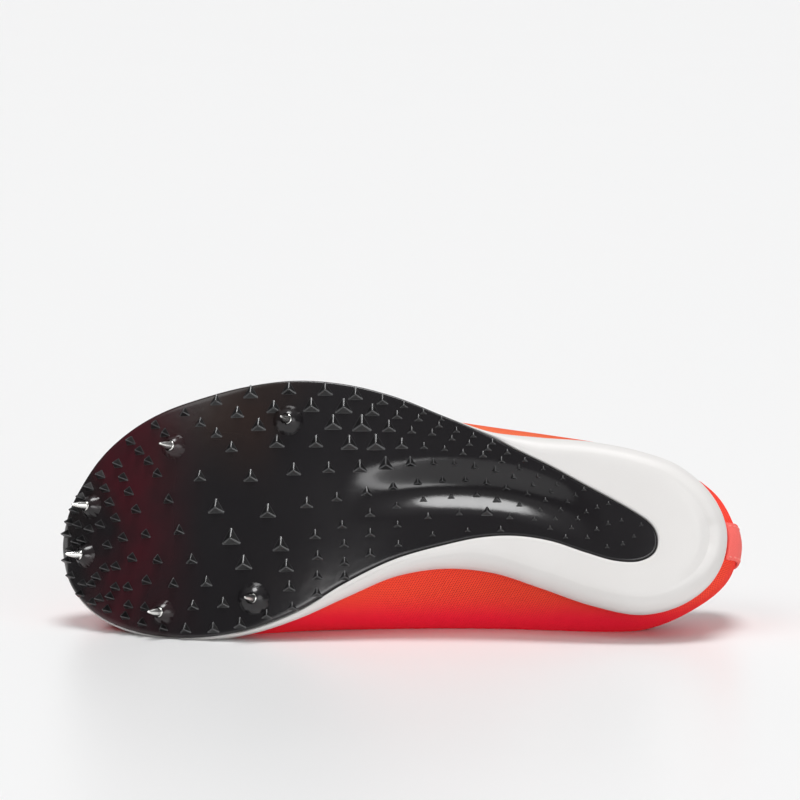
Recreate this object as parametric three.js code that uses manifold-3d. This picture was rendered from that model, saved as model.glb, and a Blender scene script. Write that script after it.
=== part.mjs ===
// Track spike shoe for middle distances, left foot, lying on its inner side as it was set down.
//
// The shoe is drawn in its own frame first: x runs from the back of the heel to the toe, y to the
// outer side of the foot, z up from the ground that the sole stands on. Its last is a set of long
// lines (feather, widest, shoulder and ridge), and every layer of the upper is an offset of the one
// surface through them. At the end the whole shoe is turned on to its inner side, with the sole
// facing -Y, the toe towards -X and the floor at Z = 0.
import * as THREE from 'three';
import { mergeVertices } from 'three/addons/utils/BufferGeometryUtils.js';
import Module from 'manifold-3d';

const wasm = await Module();
wasm.setup();

// Driving sizes in millimetres and degrees
const soleLength = 276;
const ballWidth = 100;
const lastHeight = 100;
const toeSpring = 38;
const heelStack = 22.5;
const seatGap = 0.3;
const stationCount = 26;

const plateThickness = 2.0;
const plateStations = 28;
const plateCrown = 1.6;
const grooveDepth = 4.6;
const grooveWidth = 25;

const foamRim = 0.7;
const foamRound = 7.5;
const foamDraft = 0.9;
const footbedCup = 2.6;
const featherInset = 3.0;

const upperWall = 1.5;
const insoleThickness = 3.0;
const insoleClearance = 0.9;
const tongueThickness = 2.4;
const tongueWidth = 44;
const tongueBack = 22;
const tongueFront = 10;
const tongueTop = 0.9 * lastHeight;

const eyestayThickness = 1.0;
const eyestayWidth = 12;
const eyestayBack = 4;
const throatBackWidth = 30;
const throatFrontWidth = 17;
const throatBack = 0.435 * soleLength;
const throatFront = 0.72 * soleLength;
const eyeletPairs = 5;
const eyeletRadius = 2.1;
const eyeletMargin = 6;
const laceWidth = 6.5;
const laceThickness = 1.2;
const laceRise = 1.5;

const tabWidth = 15;
const tabThickness = 1.2;
const tabBottom = 0.27 * lastHeight;
const tabCollarGap = 3;

const spikeLength = 6.6;
const spikeRadius = 1.75;
const spikeFlangeRadius = 2.9;
const spikeFlangeHeight = 0.9;
const spikeStemRadius = 1.5;
const spikeStemLength = 2.6;
const spikeLean = 18;
const spikeSeat = 2.2;
const bossHeight = 4.4;

const nubSlimness = 0.4;
const toeNubSlimness = 1.15;
const nubRoot = 0.5;
const nubReach = 0.62;

// How the shoe lies: the sole leans back by restTilt, the toe sinks by restPitch, and the sole's
// inner edge is flattened by restPress where it bears on the floor.
const restTilt = 16;
const restPitch = 1.2;
const restPress = 1.0;

// The sole, a row for each station. at is a share of soleLength, inner and outer are the edges as
// shares of ballWidth, tread is the height of the underside as a share of toeSpring, and edge is
// the height of the sole's side as a share of heelStack.
const soleRows = [
  { at: 0.0, inner: 0.0, outer: 0.0, tread: 0.197, edge: 0.76 },
  { at: 0.007, inner: -0.11, outer: 0.09, tread: 0.154, edge: 0.8 },
  { at: 0.029, inner: -0.208, outer: 0.19, tread: 0.085, edge: 0.89 },
  { at: 0.072, inner: -0.29, outer: 0.288, tread: 0.026, edge: 0.98 },
  { at: 0.13, inner: -0.325, outer: 0.348, tread: 0.0, edge: 1.0 },
  { at: 0.203, inner: -0.285, outer: 0.389, tread: 0.0, edge: 0.96 },
  { at: 0.275, inner: -0.214, outer: 0.408, tread: 0.017, edge: 0.89 },
  { at: 0.348, inner: -0.146, outer: 0.433, tread: 0.038, edge: 0.82 },
  { at: 0.42, inner: -0.126, outer: 0.5, tread: 0.051, edge: 0.74 },
  { at: 0.493, inner: -0.157, outer: 0.583, tread: 0.047, edge: 0.66 },
  { at: 0.565, inner: -0.24, outer: 0.635, tread: 0.026, edge: 0.6 },
  { at: 0.638, inner: -0.328, outer: 0.652, tread: 0.009, edge: 0.555 },
  { at: 0.71, inner: -0.388, outer: 0.632, tread: 0.03, edge: 0.52 },
  { at: 0.775, inner: -0.408, outer: 0.593, tread: 0.105, edge: 0.49 },
  { at: 0.84, inner: -0.396, outer: 0.54, tread: 0.24, edge: 0.46 },
  { at: 0.891, inner: -0.36, outer: 0.47, tread: 0.395, edge: 0.43 },
  { at: 0.935, inner: -0.3, outer: 0.375, tread: 0.575, edge: 0.395 },
  { at: 0.967, inner: -0.222, outer: 0.262, tread: 0.745, edge: 0.36 },
  { at: 0.989, inner: -0.125, outer: 0.15, tread: 0.885, edge: 0.325 },
  { at: 1.0, inner: 0.025, outer: 0.025, tread: 1.0, edge: 0.29 },
];

// The plate under the foam: it fills the forefoot and narrows to a tail under the heel.
const plateRows = [
  { at: 0.104, inner: -0.035, outer: -0.035 },
  { at: 0.107, inner: -0.075, outer: 0.005 },
  { at: 0.116, inner: -0.1, outer: 0.04 },
  { at: 0.134, inner: -0.118, outer: 0.077 },
  { at: 0.167, inner: -0.113, outer: 0.132 },
  { at: 0.21, inner: -0.077, outer: 0.198 },
  { at: 0.261, inner: -0.028, outer: 0.278 },
  { at: 0.312, inner: -0.004, outer: 0.35 },
  { at: 0.362, inner: -0.007, outer: 0.425 },
  { at: 0.42, inner: -0.037, outer: 0.497 },
  { at: 0.493, inner: -0.092, outer: 0.581 },
  { at: 0.565, inner: -0.185, outer: 0.633 },
  { at: 0.638, inner: -0.3, outer: 0.65 },
  { at: 0.71, inner: -0.373, outer: 0.63 },
  { at: 0.775, inner: -0.399, outer: 0.591 },
  { at: 0.84, inner: -0.389, outer: 0.538 },
  { at: 0.891, inner: -0.354, outer: 0.468 },
  { at: 0.935, inner: -0.295, outer: 0.373 },
  { at: 0.967, inner: -0.218, outer: 0.26 },
  { at: 0.989, inner: -0.122, outer: 0.148 },
  { at: 0.999, inner: 0.025, outer: 0.025 },
];

// The last above the feather line, as three long lines: the fullest line of each side, the shoulder
// above it and the ridge. at runs along each line from its own back end to its own front end. The
// widths are shares of ballWidth and the heights shares of lastHeight.
const wideRows = [
  { at: 0.0, inner: -0.01, outer: -0.01, up: 0.34 },
  { at: 0.01, inner: -0.125, outer: 0.1, up: 0.34 },
  { at: 0.03, inner: -0.21, outer: 0.2, up: 0.34 },
  { at: 0.07, inner: -0.295, outer: 0.295, up: 0.34 },
  { at: 0.125, inner: -0.355, outer: 0.37, up: 0.35 },
  { at: 0.2, inner: -0.374, outer: 0.42, up: 0.36 },
  { at: 0.27, inner: -0.365, outer: 0.456, up: 0.38 },
  { at: 0.34, inner: -0.352, outer: 0.488, up: 0.4 },
  { at: 0.415, inner: -0.347, outer: 0.518, up: 0.4 },
  { at: 0.49, inner: -0.345, outer: 0.545, up: 0.38 },
  { at: 0.56, inner: -0.345, outer: 0.59, up: 0.34 },
  { at: 0.64, inner: -0.355, outer: 0.62, up: 0.29 },
  { at: 0.72, inner: -0.375, outer: 0.61, up: 0.25 },
  { at: 0.79, inner: -0.385, outer: 0.572, up: 0.255 },
  { at: 0.86, inner: -0.372, outer: 0.51, up: 0.29 },
  { at: 0.91, inner: -0.338, outer: 0.435, up: 0.34 },
  { at: 0.95, inner: -0.278, outer: 0.342, up: 0.395 },
  { at: 0.975, inner: -0.205, outer: 0.245, up: 0.43 },
  { at: 0.99, inner: -0.125, outer: 0.15, up: 0.455 },
  { at: 1.0, inner: 0.015, outer: 0.015, up: 0.47 },
];
const shoulderRows = [
  { at: 0.0, inner: -0.01, outer: -0.01, up: 0.62 },
  { at: 0.01, inner: -0.11, outer: 0.09, up: 0.62 },
  { at: 0.03, inner: -0.17, outer: 0.165, up: 0.615 },
  { at: 0.07, inner: -0.235, outer: 0.25, up: 0.605 },
  { at: 0.125, inner: -0.275, outer: 0.305, up: 0.595 },
  { at: 0.2, inner: -0.295, outer: 0.33, up: 0.59 },
  { at: 0.27, inner: -0.295, outer: 0.345, up: 0.6 },
  { at: 0.34, inner: -0.29, outer: 0.355, up: 0.615 },
  { at: 0.415, inner: -0.285, outer: 0.365, up: 0.62 },
  { at: 0.49, inner: -0.275, outer: 0.39, up: 0.59 },
  { at: 0.56, inner: -0.275, outer: 0.43, up: 0.55 },
  { at: 0.64, inner: -0.285, outer: 0.47, up: 0.495 },
  { at: 0.72, inner: -0.3, outer: 0.485, up: 0.455 },
  { at: 0.79, inner: -0.31, outer: 0.47, up: 0.46 },
  { at: 0.86, inner: -0.305, outer: 0.42, up: 0.485 },
  { at: 0.91, inner: -0.28, outer: 0.36, up: 0.515 },
  { at: 0.95, inner: -0.23, outer: 0.285, up: 0.54 },
  { at: 0.975, inner: -0.17, outer: 0.205, up: 0.56 },
  { at: 0.99, inner: -0.105, outer: 0.125, up: 0.57 },
  { at: 1.0, inner: 0.01, outer: 0.01, up: 0.575 },
];
const ridgeRows = [
  { at: 0.0, across: 0.02, up: 0.98 },
  { at: 0.01, across: 0.02, up: 0.98 },
  { at: 0.03, across: 0.02, up: 0.98 },
  { at: 0.07, across: 0.03, up: 0.98 },
  { at: 0.125, across: 0.035, up: 0.98 },
  { at: 0.2, across: 0.04, up: 0.98 },
  { at: 0.27, across: 0.05, up: 0.97 },
  { at: 0.34, across: 0.06, up: 0.95 },
  { at: 0.415, across: 0.065, up: 0.89 },
  { at: 0.49, across: 0.07, up: 0.8 },
  { at: 0.56, across: 0.07, up: 0.72 },
  { at: 0.64, across: 0.065, up: 0.65 },
  { at: 0.72, across: 0.05, up: 0.6 },
  { at: 0.79, across: 0.035, up: 0.585 },
  { at: 0.86, across: 0.02, up: 0.585 },
  { at: 0.91, across: 0.015, up: 0.59 },
  { at: 0.95, across: 0.01, up: 0.595 },
  { at: 0.975, across: 0.01, up: 0.6 },
  { at: 0.99, across: 0.01, up: 0.6 },
  { at: 1.0, across: 0.01, up: 0.6 },
];

// Back and front end of each line of the last, as shares of soleLength.
const wideEnds = { back: -0.007, front: 0.994 };
const shoulderEnds = { back: -0.004, front: 0.967 };
const ridgeEnds = { back: 0.024, front: 0.935 };

// The collar seen from the side: shares of soleLength along and of lastHeight up.
const collarRows = [
  { at: -0.04, up: 0.73 },
  { at: 0.03, up: 0.715 },
  { at: 0.08, up: 0.66 },
  { at: 0.145, up: 0.585 },
  { at: 0.215, up: 0.545 },
  { at: 0.29, up: 0.555 },
  { at: 0.35, up: 0.61 },
  { at: 0.395, up: 0.69 },
  { at: 0.425, up: 0.77 },
  { at: 0.435, up: 0.86 },
];

// The groove that stiffens the plate at the waist: its centre line and how deep it is there.
const grooveRows = [
  { at: 0.18, across: 0.04, depth: 0.0 },
  { at: 0.25, across: 0.12, depth: 0.55 },
  { at: 0.33, across: 0.185, depth: 1.0 },
  { at: 0.43, across: 0.205, depth: 1.0 },
  { at: 0.5, across: 0.19, depth: 0.55 },
  { at: 0.57, across: 0.17, depth: 0.0 },
];

// The six spikes: shares of soleLength and ballWidth, and the radius of the boss that holds each.
const spikeRows = [
  { at: 0.951, across: 0.17, boss: 4.8 },
  { at: 0.961, across: -0.031, boss: 4.8 },
  { at: 0.822, across: 0.391, boss: 4.8 },
  { at: 0.84, across: -0.292, boss: 4.8 },
  { at: 0.649, across: 0.483, boss: 5.8 },
  { at: 0.702, across: -0.249, boss: 6.2 },
];

// The traction nubs stand in curved files across the plate, each charted from the outer edge to
// the inner one: along as a share of soleLength, across as a share of ballWidth, and the width of a
// nub's foot in millimetres. They are small at the toe and tail and big at the ball.
const nubFiles = [
  { nubs: 3, path: [[0.989, -0.045, 3.2], [0.983, -0.11, 3.2], [0.968, -0.19, 3.2]] },
  { nubs: 5, path: [[0.989, 0.065, 3.4], [0.976, -0.07, 3.4], [0.949, -0.23, 3.4]] },
  { nubs: 6, path: [[0.984, 0.113, 3.5], [0.967, -0.03, 3.5], [0.945, -0.181, 3.5], [0.925, -0.265, 3.5]] },
  { nubs: 7, path: [[0.977, 0.161, 3.5], [0.965, 0.033, 3.5], [0.942, -0.127, 3.5], [0.897, -0.298, 3.5]] },
  { nubs: 8, path: [[0.966, 0.212, 3.5], [0.95, 0.05, 3.6], [0.918, -0.15, 3.6], [0.871, -0.33, 3.5]] },
  { nubs: 8, path: [[0.953, 0.25, 3.6], [0.932, 0.06, 3.6], [0.9, -0.15, 3.7], [0.839, -0.355, 3.6]] },
  { nubs: 9, path: [[0.935, 0.295, 3.6], [0.915, 0.135, 3.7], [0.88, -0.09, 3.8], [0.805, -0.366, 4.2]] },
  { nubs: 9, path: [[0.908, 0.335, 3.7], [0.884, 0.17, 3.7], [0.84, -0.11, 3.9], [0.763, -0.368, 4.5]] },
  { nubs: 10, path: [[0.888, 0.425, 3.7], [0.847, 0.282, 3.8], [0.795, -0.082, 4.3], [0.723, -0.356, 4.7]] },
  { nubs: 10, path: [[0.85, 0.485, 3.7], [0.806, 0.365, 3.7], [0.735, 0.0, 6.7], [0.683, -0.318, 3.8]] },
  { nubs: 10, path: [[0.805, 0.53, 3.8], [0.734, 0.374, 4.6], [0.661, -0.035, 6.0], [0.645, -0.288, 3.7]] },
  { nubs: 10, path: [[0.757, 0.572, 4.6], [0.666, 0.391, 5.6], [0.61, 0.006, 4.2], [0.608, -0.243, 3.8]] },
  { nubs: 10, path: [[0.705, 0.601, 5.4], [0.608, 0.388, 5.2], [0.57, 0.046, 3.5], [0.567, -0.18, 3.9]] },
  { nubs: 9, path: [[0.648, 0.611, 5.4], [0.565, 0.41, 6.4], [0.531, 0.15, 4.0], [0.529, -0.072, 3.7]] },
  { nubs: 9, path: [[0.594, 0.605, 5.6], [0.525, 0.407, 7.0], [0.492, 0.178, 3.5], [0.487, -0.033, 2.9]] },
  { nubs: 9, path: [[0.549, 0.585, 5.4], [0.486, 0.4, 4.9], [0.455, 0.2, 3.3], [0.436, 0.005, 2.3]] },
  { nubs: 9, path: [[0.509, 0.56, 4.4], [0.453, 0.39, 3.0], [0.417, 0.21, 3.0], [0.384, 0.02, 2.2]] },
  { nubs: 4, path: [[0.477, 0.54, 3.1], [0.445, 0.455, 3.2], [0.417, 0.357, 2.5]] },
  { nubs: 3, path: [[0.448, 0.51, 2.6], [0.425, 0.455, 2.8], [0.406, 0.4, 2.6]] },
  { nubs: 2, path: [[0.421, 0.48, 2.3], [0.399, 0.432, 2.6]] },
  { nubs: 4, path: [[0.374, 0.41, 2.4], [0.384, 0.36, 2.8], [0.403, 0.298, 2.5]] },
  { nubs: 5, path: [[0.346, 0.38, 2.6], [0.36, 0.329, 3.0], [0.387, 0.234, 2.9]] },
  { nubs: 5, path: [[0.324, 0.338, 2.6], [0.342, 0.268, 3.0], [0.37, 0.17, 3.3]] },
  { nubs: 6, path: [[0.298, 0.305, 2.2], [0.32, 0.222, 2.8], [0.355, 0.093, 4.0]] },
  { nubs: 7, path: [[0.271, 0.268, 1.9], [0.295, 0.172, 2.4], [0.335, 0.02, 2.6]] },
  { nubs: 6, path: [[0.242, 0.228, 1.9], [0.264, 0.16, 2.1], [0.285, 0.062, 2.2]] },
  { nubs: 6, path: [[0.211, 0.18, 1.9], [0.241, 0.118, 2.1], [0.262, 0.023, 2.1]] },
  { nubs: 6, path: [[0.175, 0.12, 1.8], [0.215, 0.076, 2.0], [0.239, -0.015, 2.0]] },
  { nubs: 4, path: [[0.156, 0.05, 1.8], [0.185, 0.028, 2.0], [0.207, -0.018, 2.0]] },
  { nubs: 4, path: [[0.127, 0.03, 1.8], [0.145, -0.035, 1.8], [0.178, -0.058, 1.9]] },
];

// Heights in the shoe's own frame that cutters run between, clear of all that they cut.
const cutBottom = 0.3 * lastHeight;
const cutTop = 1.4 * lastHeight;
const punchLength = 30;

// Colours of the pieces
const black = new THREE.MeshStandardMaterial({ color: 0x1c1b1d, roughness: 0.35, metalness: 0.0 });
const white = new THREE.MeshStandardMaterial({ color: 0xe9e7e4, roughness: 0.55, metalness: 0.0 });
const coral = new THREE.MeshStandardMaterial({ color: 0xfa3a22, roughness: 0.8, metalness: 0.0 });
const salmon = new THREE.MeshStandardMaterial({ color: 0xff6e66, roughness: 0.75, metalness: 0.0 });
const steel = new THREE.MeshStandardMaterial({ color: 0xc9c8c6, roughness: 0.25, metalness: 1.0 });
const rose = new THREE.MeshStandardMaterial({ color: 0xf2503c, roughness: 0.6, metalness: 0.0 });

// Small helpers
const mix = THREE.MathUtils.lerp;
const smooth = THREE.MathUtils.smoothstep;
const point = (x, y, z = 0) => new THREE.Vector3(x, y, z);
const stations = (count) => Array.from({ length: count + 1 }, (_, i) => i / count);

// Reads a column of a table at a share, by a smooth curve through its rows.
function readSmooth(rows, at, column) {
  const last = rows.length - 1;
  const found = rows.findIndex((row) => row.at >= at);
  const k = found < 0 ? last : Math.max(found, 1);
  const [a, b, c, d] = [k - 2, k - 1, k, k + 1].map((i) => rows[THREE.MathUtils.clamp(i, 0, last)]);
  const share = THREE.MathUtils.clamp((at - b.at) / (c.at - b.at), 0, 1);
  const span = c.at - b.at;
  const slopeIn = a === b ? 0 : ((c[column] - a[column]) / (c.at - a.at)) * span;
  const slopeOut = c === d ? 0 : ((d[column] - b[column]) / (d.at - b.at)) * span;
  const s2 = share * share;
  const s3 = s2 * share;
  return (2 * s3 - 3 * s2 + 1) * b[column] + (s3 - 2 * s2 + share) * slopeIn
    + (3 * s2 - 2 * s3) * c[column] + (s3 - s2) * slopeOut;
}

// A closed line round the shoe through the outer points of the rows and back through the inner
// ones. side is 1 for the outer side and -1 for the inner one, and u goes from heel to toe.
function lineRound(outer, inner) {
  const ring = [...outer, ...inner.slice(1, -1).reverse()];
  const curve = new THREE.CatmullRomCurve3(ring, true, 'centripetal');
  const at = (u, side) => curve.getPoint(side > 0 ? u / 2 : (1 - u / 2) % 1);
  const step = 0.002;
  const outward = (u, side) => {
    let along = at(Math.min(u + step, 1), side).sub(at(Math.max(u - step, 0), side));
    if (u < step) along = at(step, side).sub(at(step, -side));
    if (u > 1 - step) along = at(1 - step, -side).sub(at(1 - step, side));
    return point(-along.y * side, along.x * side).normalize();
  };
  return { at, outward };
}

const soleLine = lineRound(
  soleRows.map((r) => point(r.at * soleLength, r.outer * ballWidth)),
  soleRows.map((r) => point(r.at * soleLength, r.inner * ballWidth)),
);
const plateLine = lineRound(
  plateRows.map((r) => point(r.at * soleLength, r.outer * ballWidth)),
  plateRows.map((r) => point(r.at * soleLength, r.inner * ballWidth)),
);

// A point of a line round the shoe, moved in from it by a distance.
function inset(line, u, side, distance) {
  return line.at(u, side).addScaledVector(line.outward(u, side), -distance);
}

// Height of the sole's underside at a place: the profile, the crown across and the groove.
function treadUp(p) {
  const at = p.x / soleLength;
  const profile = readSmooth(soleRows, at, 'tread') * toeSpring;
  const outer = readSmooth(soleRows, at, 'outer') * ballWidth;
  const inner = readSmooth(soleRows, at, 'inner') * ballWidth;
  const across = THREE.MathUtils.clamp((2 * p.y - outer - inner) / Math.max(outer - inner, 1), -1, 1);
  const crown = plateCrown * Math.abs(across) ** 3 * smooth(at, 0.4, 0.6) * (1 - smooth(at, 0.93, 1));
  return profile + crown + grooveUp(p);
}

// How far the groove lifts the tread at a place.
function grooveUp(p) {
  const at = p.x / soleLength;
  const off = (p.y - readSmooth(grooveRows, at, 'across') * ballWidth) / (grooveWidth / 2);
  const deep = Math.max(readSmooth(grooveRows, at, 'depth'), 0) * grooveDepth;
  return Math.abs(off) < 1 ? deep * Math.cos((off * Math.PI) / 2) ** 2 : 0;
}

// Height of the sole's side at a share of its length.
function edgeUp(at) {
  return readSmooth(soleRows, at, 'edge') * heelStack + readSmooth(soleRows, at, 'tread') * toeSpring;
}

// The floor in the shoe's own frame: the way up from it, the height of a point over it, and a point
// pressed back up to it.
const floorUp = point(
  -Math.sin(THREE.MathUtils.degToRad(restPitch)),
  Math.cos(THREE.MathUtils.degToRad(restTilt)),
  -Math.sin(THREE.MathUtils.degToRad(restTilt)),
).normalize();
const restHeight = -restPress - Math.min(...stations(120).map((u) => {
  const edge = soleLine.at(u, -1);
  edge.z = mix(treadUp(edge), edgeUp(edge.x / soleLength), 0.5);
  return floorUp.dot(edge);
}));
const overFloor = (p) => floorUp.dot(p) + restHeight;
const pressed = (p) => (overFloor(p) < 0 ? p.addScaledVector(floorUp, -overFloor(p)) : p);

// Meshes and solids

// Turns a geometry into a manifold-3d solid.
function solidOf(geometry, tolerance = 1e-4) {
  const bare = geometry.clone();
  for (const name of Object.keys(bare.attributes)) if (name !== 'position') bare.deleteAttribute(name);
  const merged = mergeVertices(bare, tolerance);
  const corners = Array.from(merged.index.array);
  const kept = [];
  for (let i = 0; i < corners.length; i += 3) {
    const [a, b, c] = corners.slice(i, i + 3);
    if (a !== b && b !== c && c !== a) kept.push(a, b, c);
  }
  const vertProperties = new Float32Array(merged.attributes.position.array);
  return new wasm.Manifold(new wasm.Mesh({ numProp: 3, vertProperties, triVerts: new Uint32Array(kept) }));
}

// Turns a manifold-3d solid into a named three.js mesh.
function pieceOf(name, solid, material) {
  const mesh = solid.getMesh();
  const places = new Float32Array(mesh.numVert * 3);
  for (let i = 0; i < mesh.numVert; i++) {
    places.set(mesh.vertProperties.subarray(i * mesh.numProp, i * mesh.numProp + 3), i * 3);
  }
  const geometry = new THREE.BufferGeometry();
  geometry.setAttribute('position', new THREE.BufferAttribute(places, 3));
  geometry.setIndex(new THREE.BufferAttribute(new Uint32Array(mesh.triVerts), 1));
  geometry.computeVertexNormals();
  const piece = new THREE.Mesh(geometry, material);
  piece.name = name;
  return piece;
}

// A geometry from rings of points, each ring joined to the next. Closed rings wrap round, and caps
// close the two ends where the rings don't already shrink to a line.
function loft(rings, { capped = false } = {}) {
  const count = rings[0].length;
  const places = rings.flat().flatMap((p) => [p.x, p.y, p.z]);
  const faces = [];
  for (let i = 0; i + 1 < rings.length; i++) {
    for (let k = 0; k < count; k++) {
      const a = i * count + k;
      const b = i * count + ((k + 1) % count);
      faces.push(a, b, b + count, a, b + count, a + count);
    }
  }
  if (capped) {
    const end = (rings.length - 1) * count;
    for (let k = 1; k + 1 < count; k++) {
      faces.push(0, k + 1, k, end, end + k, end + k + 1);
    }
  }
  const geometry = new THREE.BufferGeometry();
  geometry.setAttribute('position', new THREE.Float32BufferAttribute(places, 3));
  geometry.setIndex(faces);
  return geometry;
}

// A solid from a loft, whichever way its rings happen to wind.
function lofted(rings, options) {
  const made = solidOf(loft(rings, options));
  return made.volume() < 0 ? solidOf(loft(rings.map((ring) => [...ring].reverse()), options)) : made;
}

// A prism along z or y from a closed outline of [a, b] pairs.
function prism(outline, from, to, axis = 'z') {
  const shape = new THREE.Shape(outline.map(([a, b]) => new THREE.Vector2(a, b)));
  const geometry = new THREE.ExtrudeGeometry(shape, { depth: to - from, bevelEnabled: false });
  if (axis === 'z') geometry.translate(0, 0, from);
  else geometry.rotateX(Math.PI / 2).translate(0, to, 0);
  return solidOf(geometry);
}

// Shares across a station of the plate: its edges, and five places that follow the groove.
function plateShares(inner, outer) {
  const width = Math.max(outer.y - inner.y, 1);
  const at = (inner.x + outer.x) / 2 / soleLength;
  const middle = readSmooth(grooveRows, at, 'across') * ballWidth;
  const centre = THREE.MathUtils.clamp((middle - inner.y) / width, 0.38, 0.6);
  const half = mix(Math.min(grooveWidth / 2 / width, 0.34), 0.32, smooth(at, 0.48, 0.6));
  return [0, centre - half, centre - half / 2, centre, centre + half / 2, centre + half, 1];
}

// The form of the plate, grown outwards by a margin, from below the tread to above it. The foam's
// pocket for the plate is the same form with a clearance.
function plateForm({ grow, above, below }) {
  return lofted(stations(plateStations).map((u) => {
    const outer = inset(plateLine, u, 1, -grow);
    const inner = inset(plateLine, u, -1, -grow);
    const row = plateShares(inner, outer).map((share) => inner.clone().lerp(outer, share));
    return [
      ...row.map((p) => pressed(point(p.x, p.y, treadUp(p) - below))),
      ...row.reverse().map((p) => pressed(point(p.x, p.y, treadUp(p) + above))),
    ];
  }));
}

const sheet = plateForm({ grow: 0, above: plateThickness, below: 0 });
const sheetMesh = pieceOf('sheet', sheet, new THREE.MeshBasicMaterial({ side: THREE.DoubleSide }));

// Meets a mesh with a straight line through a place, upwards or downwards.
const caster = new THREE.Raycaster();
function meet(mesh, x, y, from, way) {
  caster.set(point(x, y, from), point(0, 0, way));
  return caster.intersectObject(mesh)[0];
}

// The spot of the plate's underside at a place, and the way out of the sole there.
function onTread(x, y) {
  const hit = meet(sheetMesh, x, y, -lastHeight, 1);
  return { foot: hit.point, out: hit.face.normal.clone() };
}

// Each spike leans towards the toe, so that it bites as the foot pushes off. Its seat is sunk into
// the boss, a set height over the tread.
const spikePlaces = spikeRows.map((row) => {
  const { foot, out } = onTread(row.at * soleLength, row.across * ballWidth);
  const lean = THREE.MathUtils.degToRad(spikeLean);
  const hinge = new THREE.Vector3().crossVectors(out, point(1, 0, 0)).normalize();
  return {
    foot,
    out,
    boss: row.boss,
    seat: foot.clone().addScaledVector(out, spikeSeat),
    axis: out.clone().applyAxisAngle(hinge, lean),
  };
});

// Turns a shape drawn along +Y so that it stands on the tread at a place.
function standOn(geometry, foot, out) {
  const turn = new THREE.Quaternion().setFromUnitVectors(point(0, 1, 0), out);
  return geometry.applyQuaternion(turn).translate(foot.x, foot.y, foot.z);
}

// A boss: a dome over the plate.
function bossForm({ foot, out, boss }) {
  const dome = stations(5).map((s) => {
    const angle = (s * Math.PI) / 2;
    return new THREE.Vector2(s < 1 ? boss * Math.cos(angle) : 0, bossHeight * Math.sin(angle));
  });
  const root = [new THREE.Vector2(0, -nubRoot), new THREE.Vector2(boss, -nubRoot)];
  return solidOf(standOn(new THREE.LatheGeometry([...root, ...dome], 16), foot, out));
}

// The blind socket in a boss, with a flat seat cut round its mouth for the flange.
function socketForm({ seat, axis }) {
  const bore = spikeStemRadius + seatGap;
  const mouth = spikeFlangeRadius + seatGap;
  const profile = [
    [0, -spikeStemLength - seatGap],
    [bore, -spikeStemLength - seatGap],
    [bore, 0],
    [mouth, 0],
    [mouth, bossHeight],
    [0, bossHeight],
  ].map(([r, up]) => new THREE.Vector2(r, up));
  return solidOf(standOn(new THREE.LatheGeometry(profile, 12), seat, axis));
}

// A nub: a three-sided pyramid with one corner towards the outer side of the foot, slimmer at the
// toe. Its place holds the width of its foot as z.
function nubForm(place) {
  const side = place.z;
  const height = side * mix(nubSlimness, toeNubSlimness, smooth(place.x / soleLength, 0.76, 0.88));
  const reach = side / Math.sqrt(3);
  const { foot, out } = onTread(place.x, place.y);
  foot.addScaledVector(out, -nubRoot);
  const towards = point(0, 1, 0).addScaledVector(out, -out.y).normalize();
  const spin = new THREE.Vector3().crossVectors(out, towards);
  const flare = 1 + nubRoot / height;
  const corners = [0, 1, 2].map((k) => {
    const angle = (k * 2 * Math.PI) / 3;
    return foot.clone().addScaledVector(towards, reach * flare * Math.cos(angle))
      .addScaledVector(spin, reach * flare * Math.sin(angle));
  });
  const tip = foot.clone().addScaledVector(out, height + nubRoot);
  const [a, b, c] = corners;
  return solidOf(new THREE.BufferGeometry().setFromPoints([a, b, tip, b, c, tip, c, a, tip, a, c, b]));
}

// True where a nub would stand clear of the spikes' bosses.
function nubFits(place) {
  const reach = 0.5 * nubReach * place.z;
  return spikePlaces.every(({ foot, boss }) => Math.hypot(foot.x - place.x, foot.y - place.y) > boss + reach);
}

// Moves a nub in from the plate's edge where its foot would stand over it.
function onPlate(place) {
  const reach = nubReach * place.z;
  const inner = readSmooth(plateRows, place.x / soleLength, 'inner') * ballWidth;
  const outer = readSmooth(plateRows, place.x / soleLength, 'outer') * ballWidth;
  return point(place.x, THREE.MathUtils.clamp(place.y, inner + reach, outer - reach), place.z);
}

const nubPlaces = nubFiles.flatMap(({ nubs, path }) => {
  const charted = path.map(([at, across, side]) => point(at * soleLength, across * ballWidth, side));
  const file = new THREE.CatmullRomCurve3(charted);
  return stations(nubs - 1).map((s) => onPlate(file.getPoint(s)));
}).filter(nubFits);

function plateSolid() {
  const raised = wasm.Manifold.union([sheet, ...spikePlaces.map(bossForm), ...nubPlaces.map(nubForm)]);
  return wasm.Manifold.difference([raised, ...spikePlaces.map(socketForm)]);
}

// A spike: stem in the boss, flange on it, steel cone
function spikeGeometry({ seat, axis }) {
  const flangeTop = seatGap + spikeFlangeHeight;
  const profile = [
    [0, seatGap - spikeStemLength],
    [spikeStemRadius, seatGap - spikeStemLength],
    [spikeStemRadius, seatGap],
    [spikeFlangeRadius, seatGap],
    [spikeFlangeRadius, flangeTop],
    [spikeRadius, flangeTop],
    [spikeRadius * 0.85, flangeTop + spikeLength * 0.3],
    [0, flangeTop + spikeLength],
  ].map(([r, up]) => new THREE.Vector2(r, up));
  return standOn(new THREE.LatheGeometry(profile, 8), seat, axis);
}

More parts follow.
